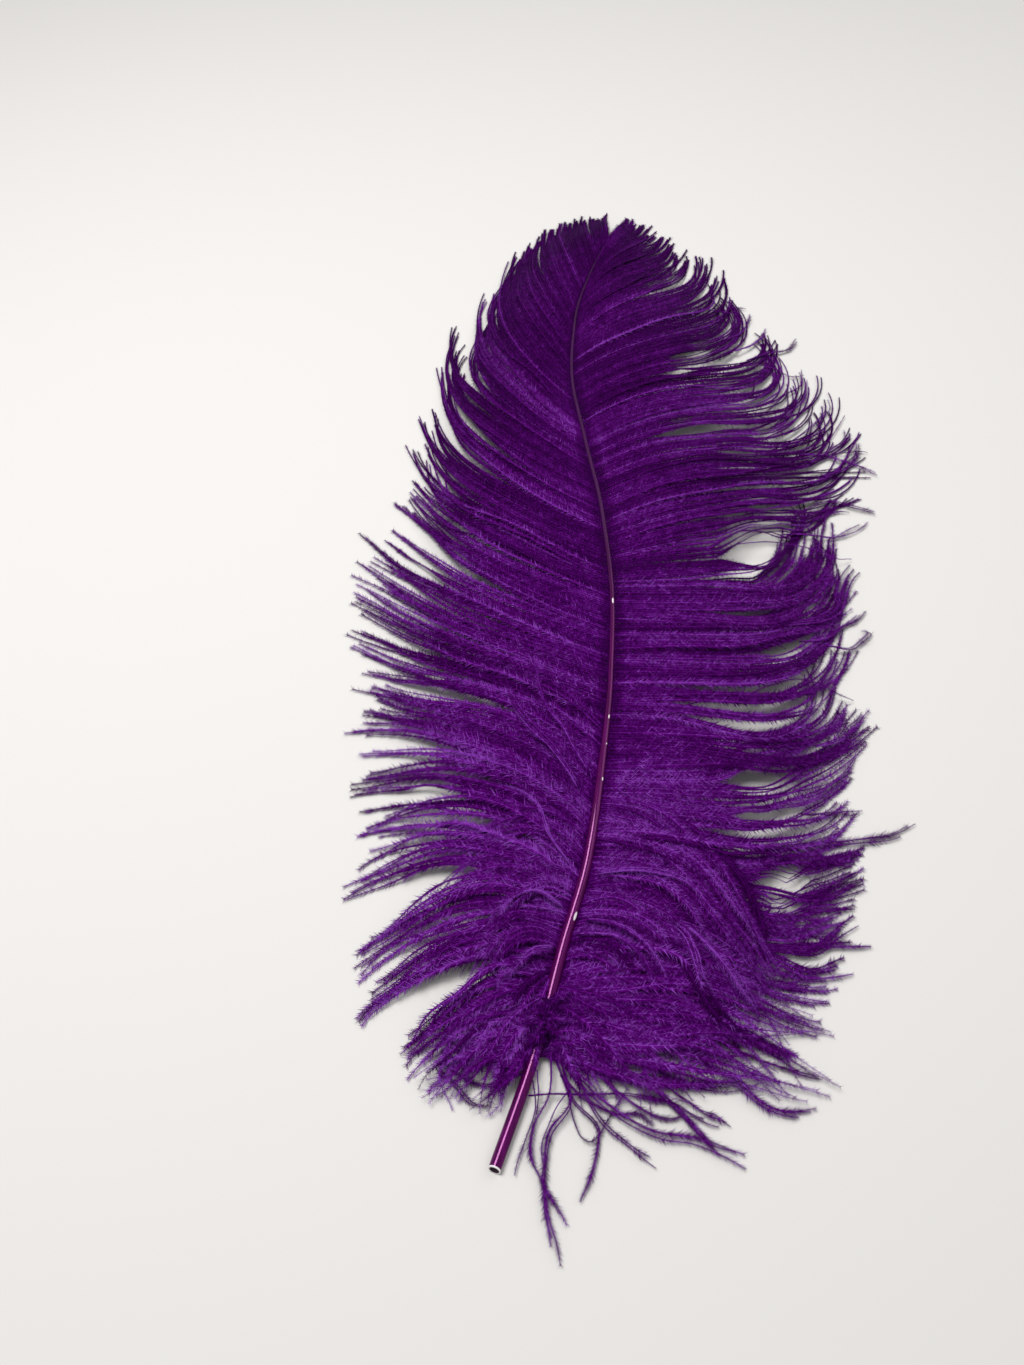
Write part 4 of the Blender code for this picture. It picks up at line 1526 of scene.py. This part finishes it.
@dataclass
class Studio:
    """The plain floor, the soft light and the camera.

    Attributes:
        shaft: the shaft, by whose cut end the camera stands.
        tilt: how steeply the camera looks down, in degrees below the horizon.
        height: the camera's height over the table.
        across: how far right of the quill's cut end it stands.
        back: how far before the cut end it stands.
        lens: its focal length over a 36 mm long side.
        lamps: each lamp's name, place, width and power in watts.
        sky: the colour of the light from all around.
        sky_strength: how strong that light is.
        floor_color: the floor's colour.
        floor_half: half the floor's width.
    """

    shaft: Shaft
    tilt: float = 58.0
    height: float = 0.4512
    across: float = 0.0072
    back: float = 0.0471
    lens: float = 26.37
    lamps: tuple[tuple, ...] = (("key", (-0.45, 0.10, 1.30), 0.6, 17.0), ("fill", (0.9, 0.5, 1.1), 1.2, 6.0))
    sky: Color = (0.95, 0.96, 1.0)
    sky_strength: float = 0.35
    floor_color: Color = (0.70, 0.68, 0.65)
    floor_half: float = 3.0

    def build(self) -> None:
        """Makes the floor, the lights and the camera."""
        self.floor()
        for lamp in self.lamps:
            self.lamp(*lamp)
        world = bpy.data.worlds.new("studio")
        world.use_nodes = True
        light = world.node_tree.nodes["Background"].inputs
        light["Color"].default_value = (*self.sky, 1.0)
        light["Strength"].default_value = self.sky_strength
        bpy.context.scene.world = world
        camera = bpy.data.cameras.new("camera")
        camera.lens = self.lens
        camera.sensor_width = 36.0
        camera.clip_start = 0.01
        seen = linked("camera", camera)
        foot = self.shaft.foot
        seen.location = (foot[0] + self.across, foot[1] - self.back, self.height)
        seen.rotation_euler = (math.radians(90.0 - self.tilt), 0.0, 0.0)
        bpy.context.scene.camera = seen
        bpy.context.scene.view_settings.view_transform = "Standard"

    def floor(self) -> None:
        """Makes the plain pale floor."""
        mesh = bpy.data.meshes.new("floor")
        half = self.floor_half
        places = [(-half, -half, 0), (half, -half, 0), (half, half, 0), (-half, half, 0)]
        mesh.from_pydata(places, [], [(0, 1, 2, 3)])
        paint = Paint("floor_paint")
        mesh.materials.append(paint.coat({"Base Color": (*self.floor_color, 1.0), "Roughness": 0.9}))
        linked("floor", mesh)

    def lamp(self, name: str, place: tuple[float, float, float], size: float, power: float) -> None:
        """Makes one soft lamp that shines on the middle of the plume.

        Args:
            name: its name.
            place: where it hangs.
            size: its width.
            power: its power in watts.
        """
        light = bpy.data.lights.new(name, "AREA")
        light.size = size
        light.energy = power
        made = linked(name, light)
        made.location = place
        x, y, z = place
        made.rotation_euler = (math.atan2(math.hypot(x, y), z), 0.0, math.atan2(y, x) + math.pi / 2)


def triangles(piece: bpy.types.Object) -> int:
    """Counts a piece's triangles."""
    return len(piece.data.loops) - 2 * len(piece.data.polygons)


def main() -> None:
    """Builds the plume and its studio, and reports each piece."""
    logging.basicConfig(level=logging.INFO, format="%(name)s: %(message)s")
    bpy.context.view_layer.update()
    shaft = Shaft()
    shaft.settle()
    Studio(shaft).build()
    rod = shaft.build()
    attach(rod, "root")
    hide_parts("shaft")
    # The stems are painted paler than the barbules: painted highlight where they catch the light.
    stem_finish = DownFinish("barb_stem_finish", painted_highlight=0.46, roughness=0.38, specular=0.25).make()
    down_finish = DownFinish("barbule_finish").make()
    down = Down(stem_finish, down_finish)
    wisps = Down(stem_finish, down_finish, spacing=0.15, base=0.050, web=0.0)
    total = triangles(rod)
    LOG.info("%s: %d triangles", rod.name, total)
    fluff = Fluff(shaft)
    for side in Side:
        node = f"{side.name.lower()}_vane"
        fullness, loose, bundles = GROWTH[side]
        groups = [
            Vane(side, shaft, seed=5 + side.value, fullness=fullness).grow(),
            fluff.patch(side, loose, over_quill=False),
            fluff.patch(side, BARBS_OVER_QUILL, over_quill=True),
            fluff.arches(side, bundles),
        ]
        portions = [(down, portion) for portion in down.portions(Strands.joined(groups))]
        if side is Side.RIGHT:
            portions.append((down, fluff.routed(LYING_KINDS)))
            portions.append((wisps, fluff.routed(FREE_KINDS)))
        for number, (maker, portion) in enumerate(portions):
            piece = maker.build(f"{node}_barbs_{number + 1}", portion, 20 + number)
            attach(piece, "root")
            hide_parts(node)
            total += triangles(piece)
            LOG.info("%s: %d barbs, %d triangles", piece.name, len(portion.points), triangles(piece))
    LOG.info("%d triangles in all", total)


if __name__ == "__main__":
    main()
